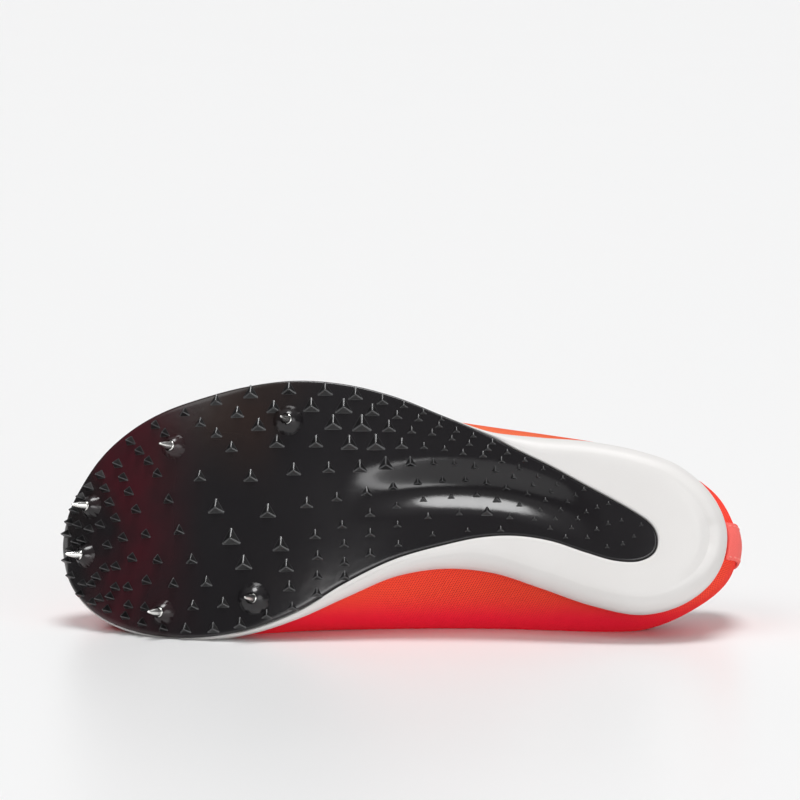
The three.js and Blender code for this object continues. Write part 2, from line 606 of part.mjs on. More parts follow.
// The footbed across a station, from the inner side to the outer: a flat margin for the upper's
// edge, then a cup that the insole fills.
const insoleInset = featherInset + upperWall + insoleClearance;
const cupShares = [0, 0.16, 0.5, 0.84, 1];
const cupDepths = [0, 0.8, 1, 0.8, 0];
const endFade = (u) => smooth(u, 0, 0.1) * (1 - smooth(u, 0.9, 1));
function footbedRow(u) {
  const inner = inset(soleLine, u, -1, insoleInset);
  const outer = inset(soleLine, u, 1, insoleInset);
  return cupShares.map((share, i) => {
    const p = inner.clone().lerp(outer, share);
    const depth = mix(footbedCup, footbedCup * 0.4, smooth(p.x / soleLength, 0.3, 0.7)) * endFade(u);
    p.z = edgeUp(p.x / soleLength) - depth * cupDepths[i];
    return p;
  });
}

// One side of the foam at a station, from the tread edge up to the margin under the upper's edge.
// bare is 1 where the foam reaches the ground itself and 0 where the plate covers it to the edge.
function foamSide(u, side) {
  const at = soleLine.at(u, side).x / soleLength;
  const width = side > 0 ? 'outer' : 'inner';
  const beyond = Math.abs(readSmooth(soleRows, at, width) - readSmooth(plateRows, at, width)) * ballWidth;
  const bare = at < plateRows[1].at ? 1 : smooth(beyond, 1.2, 6);
  const bottom = foamBottom(soleLine.at(u, side), bare);
  const top = edgeUp(at);
  const round = mix(foamDraft, foamRound, bare);
  const place = (distance, share) => {
    const p = inset(soleLine, u, side, distance);
    p.z = mix(bottom, top, share);
    return p;
  };
  const margin = inset(soleLine, u, side, featherInset);
  margin.z = edgeUp(margin.x / soleLength);
  return {
    bare,
    points: [
      place(round, 0),
      place(round * 0.42, mix(0.05, 0.09, bare)),
      place(round * 0.1, mix(0.25, 0.27, bare)),
      place(0, 0.5),
      place(0.5, 0.8),
      place(1.5, 1),
      margin,
    ],
  };
}

// Height of the foam's underside: over the plate, or down to just short of the ground.
function foamBottom(p, bare) {
  return treadUp(p) + mix(plateThickness + 2 * seatGap, -foamRim, bare);
}

// A ring round the foam at a station: underside, outer side, footbed and inner side.
function foamSection(u) {
  const outer = foamSide(u, 1);
  const inner = foamSide(u, -1);
  const under = stations(6).slice(1, -1).map((v) => {
    const p = inner.points[0].clone().lerp(outer.points[0], v);
    p.z = foamBottom(p, mix(inner.bare, outer.bare, v));
    return p;
  });
  return [...under, ...outer.points, ...footbedRow(u).reverse(), ...inner.points.reverse()].map(pressed);
}

function foamSolid() {
  const body = lofted(stations(stationCount).map(foamSection));
  const pocket = plateForm({ grow: seatGap, above: plateThickness + seatGap, below: foamRound });
  return body.subtract(pocket);
}

// The insole lies on the footbed inside the upper.
function insoleSolid() {
  const raised = (row, up) => row.map((p) => pressed(point(p.x, p.y, p.z + up)));
  return lofted(stations(stationCount).map((u) => [
    ...raised(footbedRow(u), seatGap),
    ...raised(footbedRow(u), seatGap + insoleThickness).reverse(),
  ]));
}

// The points of a long line of the last, with its widths from one column of its table.
function pointsOfLast(rows, ends, column) {
  return rows.map((row) => point(
    mix(ends.back, ends.front, row.at) * soleLength,
    row[column] * ballWidth,
    row.up * lastHeight,
  ));
}

function lineOfLast(rows, ends) {
  return lineRound(pointsOfLast(rows, ends, 'outer'), pointsOfLast(rows, ends, 'inner'));
}

const wideLine = lineOfLast(wideRows, wideEnds);
const shoulderLine = lineOfLast(shoulderRows, shoulderEnds);
const ridgeLine = new THREE.CatmullRomCurve3(pointsOfLast(ridgeRows, ridgeEnds, 'across'));

function featherPoint(u, side) {
  const p = inset(soleLine, u, side, featherInset);
  return point(p.x, p.y, edgeUp(p.x / soleLength) + seatGap);
}

// A section of the last, over the foot from the inner feather line to the outer.
const sectionSteps = 18;
function lastSection(u) {
  const curve = new THREE.CatmullRomCurve3([
    featherPoint(u, -1),
    wideLine.at(u, -1),
    shoulderLine.at(u, -1),
    ridgeLine.getPoint(u),
    shoulderLine.at(u, 1),
    wideLine.at(u, 1),
    featherPoint(u, 1),
  ], false, 'centripetal');
  return stations(sectionSteps).map((share) => pressed(curve.getPoint(share)));
}

// The open sheet of the last with its normals, welded where it folds at heel and toe.
function lastSheet() {
  const rows = stations(stationCount).map(lastSection);
  const count = rows[0].length;
  const faces = [];
  for (let i = 0; i + 1 < rows.length; i++) {
    for (let k = 0; k + 1 < count; k++) {
      const a = i * count + k;
      faces.push(a, a + count + 1, a + 1, a, a + count, a + count + 1);
    }
  }
  const open = new THREE.BufferGeometry().setFromPoints(rows.flat());
  open.setIndex(faces);
  const welded = mergeVertices(open, 1e-3);
  welded.computeVertexNormals();
  return welded;
}

const lastGeometry = lastSheet();
const lastMesh = new THREE.Mesh(lastGeometry, new THREE.MeshBasicMaterial({ side: THREE.DoubleSide }));

// A solid between two offsets of the last's surface, positive outwards.
function layer(outerOffset, innerOffset) {
  const position = lastGeometry.attributes.position;
  const normal = lastGeometry.attributes.normal;
  const count = position.count;
  const places = [outerOffset, innerOffset].flatMap((offset) => Array.from({ length: count }, (_, i) => {
    const outward = new THREE.Vector3().fromBufferAttribute(normal, i);
    return new THREE.Vector3().fromBufferAttribute(position, i).addScaledVector(outward, offset);
  }));
  const index = Array.from(lastGeometry.index.array);
  const faces = [];
  const rim = new Map();
  for (let i = 0; i < index.length; i += 3) {
    const corners = index.slice(i, i + 3);
    const [a, b, c] = corners;
    if (a === b || b === c || c === a) continue;
    faces.push(a, b, c, a + count, c + count, b + count);
    corners.forEach((from, k) => {
      const to = corners[(k + 1) % 3];
      if (rim.has(`${to}/${from}`)) rim.delete(`${to}/${from}`);
      else rim.set(`${from}/${to}`, [from, to]);
    });
  }
  for (const [from, to] of rim.values()) faces.push(to, from, from + count, to, from + count, to + count);
  const made = new THREE.BufferGeometry().setFromPoints(places);
  made.setIndex(faces);
  return solidOf(made, 1e-5);
}

// The spot of the last straight below a place, and the way out of the foot there.
function overLast(x, y) {
  const hit = (a, b) => meet(lastMesh, a, b, 2 * lastHeight, -1).point;
  const step = 1.5;
  const along = hit(x + step, y).sub(hit(x - step, y));
  const across = hit(x, y + step).sub(hit(x, y - step));
  return { foot: hit(x, y), out: new THREE.Vector3().crossVectors(along, across).normalize() };
}

// Cuts all that lies over the collar's edge, as seen from the side.
function collarCutter() {
  const rows = collarRows.map((row) => point(row.at * soleLength, row.up * lastHeight));
  const edge = new THREE.CatmullRomCurve3(rows).getPoints(26).map((p) => [p.x, p.y]);
  return prism([...edge, [edge.at(-1)[0], cutTop], [edge[0][0], cutTop]], -ballWidth, ballWidth, 'y');
}

// The ridge's place across at a place along.
function ridgeAcross(x) {
  const { back, front } = ridgeEnds;
  return readSmooth(ridgeRows, (x / soleLength - back) / (front - back), 'across') * ballWidth;
}

// A tongue-shaped outline from above: straight sides that follow the ridge, and a round front end.
function slotOutline(from, to, backWidth, frontWidth) {
  const half = (x) => mix(backWidth, frontWidth, (x - from) / (to - from)) / 2;
  const nose = to - frontWidth / 2;
  const along = stations(7).map((s) => mix(from, nose, s));
  const outer = along.map((x) => [x, ridgeAcross(x) + half(x)]);
  const inner = along.map((x) => [x, ridgeAcross(x) - half(x)]).reverse();
  const round = stations(8).slice(1, -1).map((s) => {
    const angle = Math.PI * (0.5 - s);
    return [nose + (to - nose) * Math.cos(angle), ridgeAcross(nose) + half(nose) * Math.sin(angle)];
  });
  return [...outer, ...round, ...inner];
}

// The throat, with a margin round it. It starts behind the collar's front corner, so that it opens
// into the collar.
const throatOverlap = 30;
function throatForm(margin, from = throatBack - throatOverlap) {
  const outline = slotOutline(
    from, throatFront + margin, throatBackWidth + 2 * margin, throatFrontWidth + 2 * margin);
  return prism(outline, cutBottom, cutTop);
}

// Eyelets in pairs along the throat, a margin away from its edge, from the toe end to the collar.
const eyeletPlaces = stations(eyeletPairs - 1).map((s) => {
  const x = mix(throatFront - 2 * eyeletMargin, throatBack + eyeletMargin, s);
  const share = (x - throatBack + throatOverlap) / (throatFront - throatBack + throatOverlap);
  const half = mix(throatBackWidth, throatFrontWidth, share) / 2 + eyeletMargin;
  return [-1, 1].map((side) => point(x, ridgeAcross(x) + side * half));
});

function eyeletCutters() {
  return eyeletPlaces.flat().map((place) => {
    const { foot, out } = overLast(place.x, place.y);
    const punch = new THREE.CylinderGeometry(eyeletRadius, eyeletRadius, punchLength, 6);
    return solidOf(standOn(punch, foot, out));
  });
}

// The upper: one wall over the last, open at the collar, the throat and the eyelets, and underneath
function upperSolid() {
  return wasm.Manifold.difference([layer(0, -upperWall), collarCutter(), throatForm(0), ...eyeletCutters()]);
}

// The eyestay: a film over the upper, round the throat
function eyestaySolid() {
  const over = layer(seatGap + eyestayThickness, seatGap);
  const film = over.intersect(throatForm(eyestayWidth, throatBack - eyestayBack));
  return wasm.Manifold.difference([film, collarCutter(), throatForm(0), ...eyeletCutters()]);
}

// The tongue: a pad under the throat that stands out above the collar
function tongueSolid() {
  const over = -upperWall - 2 * seatGap;
  const [back, front] = [throatBack - tongueBack, throatFront + tongueFront];
  const outline = slotOutline(back, front, tongueWidth, 0.8 * tongueWidth);
  return layer(over, over - tongueThickness).intersect(prism(outline, cutBottom, tongueTop));
}

// A flat bar of lace between two places, that arches over the throat by a lift.
function laceBar(from, to, lift) {
  const rings = stations(3).map((s) => {
    const p = from.clone().lerp(to, s);
    const { foot, out } = overLast(p.x, p.y);
    const rise = 2 * seatGap + eyestayThickness + laceRise + lift * Math.sin(Math.PI * s);
    const middle = foot.addScaledVector(out, rise);
    const along = to.clone().sub(from);
    const across = new THREE.Vector3().crossVectors(out, along).setLength(laceWidth / 2);
    const up = out.clone().setLength(laceThickness / 2);
    const corners = [[-1, -1], [1, -1], [1, 1], [-1, 1]];
    return corners.map(([a, b]) => middle.clone().addScaledVector(across, a).addScaledVector(up, b));
  });
  return lofted(rings, { capped: true });
}

// The lace: a straight bar at the toe end, and a cross between each pair of eyelets and the next
function laceSolid() {
  const lowLift = 0.3;
  const highLift = lowLift + 0.75 * laceThickness;
  const bars = [laceBar(eyeletPlaces[0][0], eyeletPlaces[0][1], lowLift)];
  for (let i = 0; i + 1 < eyeletPairs; i++) {
    bars.push(laceBar(eyeletPlaces[i][0], eyeletPlaces[i + 1][1], lowLift));
    bars.push(laceBar(eyeletPlaces[i][1], eyeletPlaces[i + 1][0], highLift));
  }
  return wasm.Manifold.union(bars);
}

// The heel tab: a strip of webbing up the back of the heel, stopped short of the collar's edge
function heelTabSolid() {
  const middle = wideRows[0].outer * ballWidth;
  const top = collarRows[1].up * lastHeight - tabCollarGap;
  const [left, right] = [middle - tabWidth / 2, middle + tabWidth / 2];
  const [behind, before] = [-tabWidth, tabWidth];
  const strip = prism([[behind, left], [before, left], [before, right], [behind, right]], tabBottom, top);
  return layer(seatGap + tabThickness, seatGap).intersect(strip);
}

// The shoe as it is put together
const onItsSide = new THREE.Group();
onItsSide.add(
  pieceOf('plate', plateSolid(), black),
  pieceOf('midsole', foamSolid(), white),
  pieceOf('upper', upperSolid(), coral),
  pieceOf('insole', insoleSolid(), salmon),
  pieceOf('tongue', tongueSolid(), coral),
  pieceOf('eyestay', eyestaySolid(), rose),
  pieceOf('laces', laceSolid(), white),
  pieceOf('heel_tab', heelTabSolid(), salmon),
);
spikePlaces.forEach((place, i) => {
  const spike = new THREE.Mesh(spikeGeometry(place), steel);
  spike.name = `spike_${i + 1}`;
  onItsSide.add(spike);
});

// Laid on its inner side: the floor's normal becomes Z, and the heel points along X.
const heelwards = point(-1, 0, 0).addScaledVector(floorUp, floorUp.x).normalize();
const inwards = new THREE.Vector3().crossVectors(floorUp, heelwards);
const turned = new THREE.Matrix4().makeBasis(heelwards, inwards, floorUp).transpose();
onItsSide.quaternion.setFromRotationMatrix(turned);
onItsSide.updateMatrixWorld(true);
const centre = new THREE.Box3().setFromObject(onItsSide, true).getCenter(new THREE.Vector3());
onItsSide.position.set(-centre.x, -centre.y, restHeight);

const shoe = new THREE.Group();
shoe.add(onItsSide);
export default shoe;
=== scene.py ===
import math

import bmesh
import bpy
import numpy as np
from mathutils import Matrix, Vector
from mathutils.bvhtree import BVHTree


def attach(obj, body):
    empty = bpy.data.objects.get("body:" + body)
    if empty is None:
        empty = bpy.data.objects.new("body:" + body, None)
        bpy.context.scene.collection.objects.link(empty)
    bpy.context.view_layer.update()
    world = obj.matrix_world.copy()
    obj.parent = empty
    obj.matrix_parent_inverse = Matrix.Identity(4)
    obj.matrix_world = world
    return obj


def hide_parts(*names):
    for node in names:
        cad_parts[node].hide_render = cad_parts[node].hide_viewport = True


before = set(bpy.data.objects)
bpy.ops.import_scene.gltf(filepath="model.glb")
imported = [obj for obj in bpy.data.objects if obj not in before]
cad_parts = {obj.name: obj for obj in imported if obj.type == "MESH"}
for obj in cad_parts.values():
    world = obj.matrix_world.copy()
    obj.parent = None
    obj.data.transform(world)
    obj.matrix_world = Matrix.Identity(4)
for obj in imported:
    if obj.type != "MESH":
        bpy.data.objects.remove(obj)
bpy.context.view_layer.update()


# Studio
# A white sweep of floor under broad soft lamps, seen from a low camera in front of the sole and a
# little towards the heel. Each lamp's direction is the way that its light falls.
def finish_node(tree, kind, settings=None, sockets=None):
    """A node with its settings made first, and then the values or links of its sockets."""
    made = tree.nodes.new(kind)
    for name, value in (settings or {}).items():
        if name == "stops":
            ramp = made.color_ramp
            while len(ramp.elements) < len(value):
                ramp.elements.new(0.5)
            for stop, (place, shade) in zip(ramp.elements, value):
                stop.position = place
                stop.color = (*shade, 1.0)
        else:
            setattr(made, name, value)
    for name, value in (sockets or {}).items():
        if isinstance(value, Socket):
            tree.links.new(value.socket, made.inputs[name])
        else:
            made.inputs[name].default_value = value
    return made


class Socket:
    """A socket of a tree of nodes that sums and products can be made of."""

    def __init__(self, tree, socket):
        self.tree = tree
        self.socket = socket

    def maths(self, operation, *values):
        sockets = dict(enumerate(values))
        made = finish_node(self.tree, "ShaderNodeMath", {"operation": operation}, sockets)
        return Socket(self.tree, made.outputs[0])

    def sine(self):
        return self.maths("SINE", self)

    def fraction(self):
        return self.maths("FRACT", self)

    def __add__(self, other):
        return self.maths("ADD", self, other)

    def __radd__(self, other):
        return self.maths("ADD", other, self)

    def __sub__(self, other):
        return self.maths("SUBTRACT", self, other)

    def __rsub__(self, other):
        return self.maths("SUBTRACT", other, self)

    def __mul__(self, other):
        return self.maths("MULTIPLY", self, other)

    def __rmul__(self, other):
        return self.maths("MULTIPLY", other, self)

    def __truediv__(self, other):
        return self.maths("DIVIDE", self, other)

    def __pow__(self, other):
        return self.maths("POWER", self, other)

    def smaller(self, other):
        return self.maths("MINIMUM", self, other)

    def between(self, low, high):
        """0 below low and 1 above high, with a smooth rise from one to the other."""
        settings = {"interpolation_type": "SMOOTHSTEP"}
        made = finish_node(self.tree, "ShaderNodeMapRange", settings, {0: self, 1: low, 2: high})
        return Socket(self.tree, made.outputs[0])


class Finish:
    """A material, or the world's light, built of nodes."""

    def __init__(self, name, owner=None):
        self.material = owner or bpy.data.materials.new(name)
        self.material.use_nodes = True
        self.tree = self.material.node_tree
        self.tree.nodes.clear()

    def node(self, kind, settings=None, sockets=None, out=0):
        return Socket(self.tree, finish_node(self.tree, kind, settings, sockets).outputs[out])

    def place(self):
        """The place of a point in metres of the model's frame."""
        return self.node("ShaderNodeTexCoord", out=3)

    def cloth_place(self):
        """The place of a point on its own piece, in millimetres along and across it."""
        return self.node("ShaderNodeUVMap")

    def parts(self, vector):
        split = finish_node(self.tree, "ShaderNodeSeparateXYZ", {}, {0: vector})
        return [Socket(self.tree, out) for out in split.outputs]

    def noise(self, vector, scale, detail=2.0, roughness=0.5):
        sockets = {"Vector": vector, "Scale": scale, "Detail": detail, "Roughness": roughness}
        return self.node("ShaderNodeTexNoise", {}, sockets)

    def mixed(self, share, first, second):
        """A colour between two, by a share."""
        settings = {"data_type": "RGBA"}
        return self.node("ShaderNodeMix", settings, {0: share, 6: first, 7: second}, out=2)

    def relief(self, height, distance, strength=1.0, below=None):
        """A bump whose full height is a distance in metres."""
        sockets = {"Height": height, "Distance": distance, "Strength": strength}
        if below is not None:
            sockets["Normal"] = below
        return self.node("ShaderNodeBump", {}, sockets)

    def surface(self, **sockets):
        named = {name.replace("_", " "): value for name, value in sockets.items()}
        shader = self.node("ShaderNodeBsdfPrincipled", {}, named)
        finish_node(self.tree, "ShaderNodeOutputMaterial", {}, {"Surface": shader})
        return self.material


def srgb(red, green, blue):
    """A colour as it is read off a picture, from 0 to 255, as the shader's own numbers."""
    def linear(value):
        share = value / 255
        return share / 12.92 if share <= 0.04045 else ((share + 0.055) / 1.055) ** 2.4
    return (linear(red), linear(green), linear(blue), 1.0)


camera_azimuth = math.radians(2.4)
camera_elevation = math.radians(7.85)
camera_distance = 2.5
view_width = 0.3294
aim = Vector((0.001, -0.010, 0.0955))

camera_back = Vector((
    math.sin(camera_azimuth) * math.cos(camera_elevation),
    -math.cos(camera_azimuth) * math.cos(camera_elevation),
    math.sin(camera_elevation),
))
camera = bpy.data.objects.new("camera", bpy.data.cameras.new("camera"))
bpy.context.collection.objects.link(camera)
camera.location = aim + camera_back * camera_distance
camera.rotation_euler = camera_back.to_track_quat("Z", "Y").to_euler()
camera.data.sensor_width = 36
camera.data.lens = camera.data.sensor_width * camera_distance / view_width
bpy.context.scene.camera = camera
bpy.context.scene.view_settings.view_transform = "Standard"

floor_size = 40
floor_mesh = bpy.data.meshes.new("floor")
floor_corners = [(x * floor_size, y * floor_size, 0) for x, y in ((-1, -1), (1, -1), (1, 1), (-1, 1))]
floor_mesh.from_pydata(floor_corners, [], [(0, 1, 2, 3)])
floor = bpy.data.objects.new("floor", floor_mesh)
bpy.context.collection.objects.link(floor)
floor_finish = Finish("floor")
floor_mesh.materials.append(floor_finish.surface(
    Base_Color=srgb(236, 236, 236),
    Roughness=floor_finish.noise(floor_finish.place(), 6.0) * 0.06 + 0.33,
    IOR=1.6,
))

lamps = [
    {"name": "overhead", "falls": (-0.06, 0.06, -1.0), "width": 26, "strength": 2.1},
    {"name": "front", "falls": (-0.25, 1.0, -0.03), "width": 30, "strength": 1.15},
    {"name": "right", "falls": (-0.80, 0.70, -0.25), "width": 36, "strength": 0.7},
    {"name": "left", "falls": (0.50, 0.50, -0.70), "width": 30, "strength": 0.5},
]
for row in lamps:
    lamp = bpy.data.objects.new(row["name"], bpy.data.lights.new(row["name"], "SUN"))
    bpy.context.collection.objects.link(lamp)
    lamp.rotation_euler = (-Vector(row["falls"])).to_track_quat("Z", "Y").to_euler()
    lamp.data.energy = row["strength"]
    lamp.data.angle = math.radians(row["width"])

world_light = Finish("world", bpy.data.worlds.new("world"))
bpy.context.scene.world = world_light.material
_, ahead, upwards = world_light.parts(world_light.node("ShaderNodeTexCoord"))
open_sky = ahead.between(0.7, 0.97) * 1.2 + upwards.between(0.3, 0.85) * 0.35
backdrop = world_light.node("ShaderNodeBackground", {}, {
    "Color": world_light.mixed(open_sky.smaller(1.0), srgb(110, 110, 112), srgb(255, 255, 255)),
    "Strength": 0.8,
})
finish_node(world_light.tree, "ShaderNodeOutputWorld", {}, {"Surface": backdrop})


# Plate
# One hard black moulding under the forefoot and waist, clear enough at the toe to show a red tint.
# It has a rounded rim, a groove that stiffens the waist, and a domed boss moulded round each spike.
def table(columns, rows):
    """A short table as its named columns."""
    return dict(zip(columns.split(), np.array(rows, float).T))


def read_smooth(rows, at, column):
    """A column of a table at a share, by a smooth curve through its rows."""
    x, y = rows["at"], rows[column]
    at = np.asarray(at, float)
    k = np.clip(np.searchsorted(x, at), 1, len(x) - 1)
    a, b, c, d = (np.clip(k + step, 0, len(x) - 1) for step in (-2, -1, 0, 1))
    span = x[c] - x[b]
    share = np.clip((at - x[b]) / span, 0, 1)
    slope_in = np.where(a == b, 0, (y[c] - y[a]) / np.maximum(x[c] - x[a], 1e-9) * span)
    slope_out = np.where(c == d, 0, (y[d] - y[b]) / np.maximum(x[d] - x[b], 1e-9) * span)
    s2, s3 = share**2, share**3
    return (
        (2 * s3 - 3 * s2 + 1) * y[b] + (s3 - 2 * s2 + share) * slope_in
        + (3 * s2 - 2 * s3) * y[c] + (s3 - s2) * slope_out
    )


def smooth(value, low, high):
    share = np.clip((np.asarray(value, float) - low) / (high - low), 0, 1)
    return share * share * (3 - 2 * share)


def mix(first, second, share):
    return first + (second - first) * share


def through(points, shares, closed=False):
    """The points at shares of the way along a smooth curve through others."""
    points = np.asarray(points, float)
    if closed:
        ring = np.concatenate([points[..., -1:, :], points, points[..., :2, :]], axis=-2)
        spans = points.shape[-2]
    else:
        before = 2 * points[..., :1, :] - points[..., 1:2, :]
        after = 2 * points[..., -1:, :] - points[..., -2:-1, :]
        ring = np.concatenate([before, points, after], axis=-2)
        spans = points.shape[-2] - 1
    shares = np.asarray(shares, float)
    if shares.ndim < points.ndim - 1:
        shares = np.broadcast_to(shares, points.shape[:-2] + shares.shape)
    k = np.clip(np.floor(shares * spans).astype(int), 0, spans - 1)
    w = (shares * spans - k)[..., None]
    a, b, c, d = (np.take_along_axis(ring, (k + i)[..., None], axis=-2) for i in range(4))
    gap_a, gap_b, gap_c = (
        np.sqrt(np.linalg.norm(q - p, axis=-1, keepdims=True)) for p, q in ((a, b), (b, c), (c, d)))
    gap_b = np.where(gap_b < 1e-4, 1, gap_b)
    gap_a = np.where(gap_a < 1e-4, gap_b, gap_a)
    gap_c = np.where(gap_c < 1e-4, gap_b, gap_c)
    slope_b = ((b - a) / gap_a - (c - a) / (gap_a + gap_b) + (c - b) / gap_b) * gap_b
    slope_c = ((c - b) / gap_b - (d - b) / (gap_b + gap_c) + (d - c) / gap_c) * gap_b
    w2, w3 = w**2, w**3
    return (
        (2 * w3 - 3 * w2 + 1) * b + (w3 - 2 * w2 + w) * slope_b
        + (3 * w2 - 2 * w3) * c + (w3 - w2) * slope_c
    )


def column_points(x, y, z=0.0):
    return np.stack(np.broadcast_arrays(np.asarray(x, float), y, z), axis=-1)


class Outline:
    """A closed line round the shoe. side is 1 for the outer side and -1 for the inner one, and a
    station goes from 0 at the heel to 1 at the toe."""

    def __init__(self, outer, inner):
        self.ring = np.concatenate([outer, inner[-2:0:-1]])

    def at(self, station, side):
        share = np.atleast_1d(station) / 2
        found = through(self.ring, share if side > 0 else (1 - share) % 1, closed=True)
        return found.reshape(*np.shape(station), 3)

    def outward(self, station, side):
        step = 0.002
        station = np.asarray(station, float)
        ahead = self.at(np.minimum(station + step, 1), side)
        behind = self.at(np.maximum(station - step, 0), side)
        start, end = (station < step)[..., None], (station > 1 - step)[..., None]
        behind = np.where(start, self.at(step, -side), behind)
        ahead = np.where(start, self.at(step, side), ahead)
        ahead = np.where(end, self.at(1 - step, -side), ahead)
        behind = np.where(end, self.at(1 - step, side), behind)
        along = ahead - behind
        out = column_points(-along[..., 1] * side, along[..., 0] * side)
        return out / np.linalg.norm(out, axis=-1, keepdims=True)

    def inset(self, station, side, distance):
        return self.at(station, side) - self.outward(station, side) * np.asarray(distance)[..., None]


sole_length = 276
ball_width = 100
toe_spring = 38
heel_stack = 22.5
sole = table("at inner outer tread edge", [
    (0.0, 0.0, 0.0, 0.197, 0.76),
    (0.007, -0.11, 0.09, 0.154, 0.8),
    (0.029, -0.208, 0.19, 0.085, 0.89),
    (0.072, -0.29, 0.288, 0.026, 0.98),
    (0.13, -0.325, 0.348, 0.0, 1.0),
    (0.203, -0.285, 0.389, 0.0, 0.96),
    (0.275, -0.214, 0.408, 0.017, 0.89),
    (0.348, -0.146, 0.433, 0.038, 0.82),
    (0.42, -0.126, 0.5, 0.051, 0.74),
    (0.493, -0.157, 0.583, 0.047, 0.66),
    (0.565, -0.24, 0.635, 0.026, 0.6),
    (0.638, -0.328, 0.652, 0.009, 0.555),
    (0.71, -0.388, 0.632, 0.03, 0.52),
    (0.775, -0.408, 0.593, 0.105, 0.49),
    (0.84, -0.396, 0.54, 0.24, 0.46),
    (0.891, -0.36, 0.47, 0.395, 0.43),
    (0.935, -0.3, 0.375, 0.575, 0.395),
    (0.967, -0.222, 0.262, 0.745, 0.36),
    (0.989, -0.125, 0.15, 0.885, 0.325),
    (1.0, 0.025, 0.025, 1.0, 0.29),
])
plate_edge = table("at inner outer", [
    (0.104, -0.035, -0.035),
    (0.107, -0.075, 0.005),
    (0.116, -0.1, 0.04),
    (0.134, -0.118, 0.077),
    (0.167, -0.113, 0.132),
    (0.21, -0.077, 0.198),
    (0.261, -0.028, 0.278),
    (0.312, -0.004, 0.35),
    (0.362, -0.007, 0.425),
    (0.42, -0.037, 0.497),
    (0.493, -0.092, 0.581),
    (0.565, -0.185, 0.633),
    (0.638, -0.3, 0.65),
    (0.71, -0.373, 0.63),
    (0.775, -0.399, 0.591),
    (0.84, -0.389, 0.538),
    (0.891, -0.354, 0.468),
    (0.935, -0.295, 0.373),
    (0.967, -0.218, 0.26),
    (0.989, -0.122, 0.148),
    (0.999, 0.025, 0.025),
])
groove = table("at across depth", [
    (0.18, 0.04, 0.0),
    (0.25, 0.12, 0.55),
    (0.33, 0.185, 1.0),
    (0.43, 0.205, 1.0),
    (0.5, 0.19, 0.55),
    (0.57, 0.17, 0.0),
])
groove_depth = 4.6
groove_width = 25
plate_crown = 1.6
plate_thickness = 2.0
plate_rim_round = 0.9


def outline_of(rows):
    along = rows["at"] * sole_length
    return Outline(*(column_points(along, rows[side] * ball_width) for side in ("outer", "inner")))


sole_line = outline_of(sole)
plate_line = outline_of(plate_edge)


def tread_up(p):
    """Height of the sole's underside at points: the profile, the crown across and the groove."""
    at = p[..., 0] / sole_length
    outer = read_smooth(sole, at, "outer") * ball_width
    inner = read_smooth(sole, at, "inner") * ball_width
    across = np.clip((2 * p[..., 1] - outer - inner) / np.maximum(outer - inner, 1), -1, 1)
    crown = plate_crown * np.abs(across) ** 3 * smooth(at, 0.4, 0.6) * (1 - smooth(at, 0.93, 1))
    off = (p[..., 1] - read_smooth(groove, at, "across") * ball_width) / (groove_width / 2)
    depth = np.maximum(read_smooth(groove, at, "depth"), 0) * groove_depth
    sunk = depth * np.cos(np.clip(off, -1, 1) * np.pi / 2) ** 2
    return read_smooth(sole, at, "tread") * toe_spring + crown + sunk


def edge_up(at):
    """Height of the sole's side at a share of its length."""
    return read_smooth(sole, at, "edge") * heel_stack + read_smooth(sole, at, "tread") * toe_spring


def raised(p, up):
    return column_points(p[..., 0], p[..., 1], up)


# How the shoe lies: the sole leans back, the toe sinks, and the inner edge is pressed flat a little.
rest_tilt = math.radians(16)
rest_pitch = math.radians(1.2)
rest_press = 1.0
shoe_middle = (135.726, -37.306)

floor_up = np.array([-math.sin(rest_pitch), math.cos(rest_tilt), -math.sin(rest_tilt)])
floor_up /= np.linalg.norm(floor_up)
heelwards = np.array([-1.0, 0.0, 0.0]) + floor_up * floor_up[0]
heelwards /= np.linalg.norm(heelwards)
onto_side = np.array([heelwards, np.cross(floor_up, heelwards), floor_up])
lower_edge = sole_line.at(np.linspace(0, 1, 121), -1)
lower_edge = raised(lower_edge, (tread_up(lower_edge) + edge_up(lower_edge[..., 0] / sole_length)) / 2)
rest_height = -rest_press - (lower_edge @ floor_up).min()


def pressed(p):
    """Points that would go through the floor, pushed back up to it."""
    over = p @ floor_up + rest_height
    return p - np.minimum(over, 0)[..., None] * floor_up


def laid(p):
    """The shoe's own millimetres as metres of the model's frame."""
    return (p @ onto_side.T + (*shoe_middle, rest_height)) / 1000


def skin(rows, wrap=False):
    """The points of a grid and the faces between them. wrap joins each row's end to its start."""
    count, width = rows.shape[:2]
    i = np.arange(count - 1)[:, None] * width
    k = np.arange(width if wrap else width - 1)[None, :]
    ahead = (k + 1) % width
    faces = np.stack([i + k, i + ahead, i + width + ahead, i + width + k], axis=-1)
    return rows.reshape(-1, 3), faces.reshape(-1, 4)


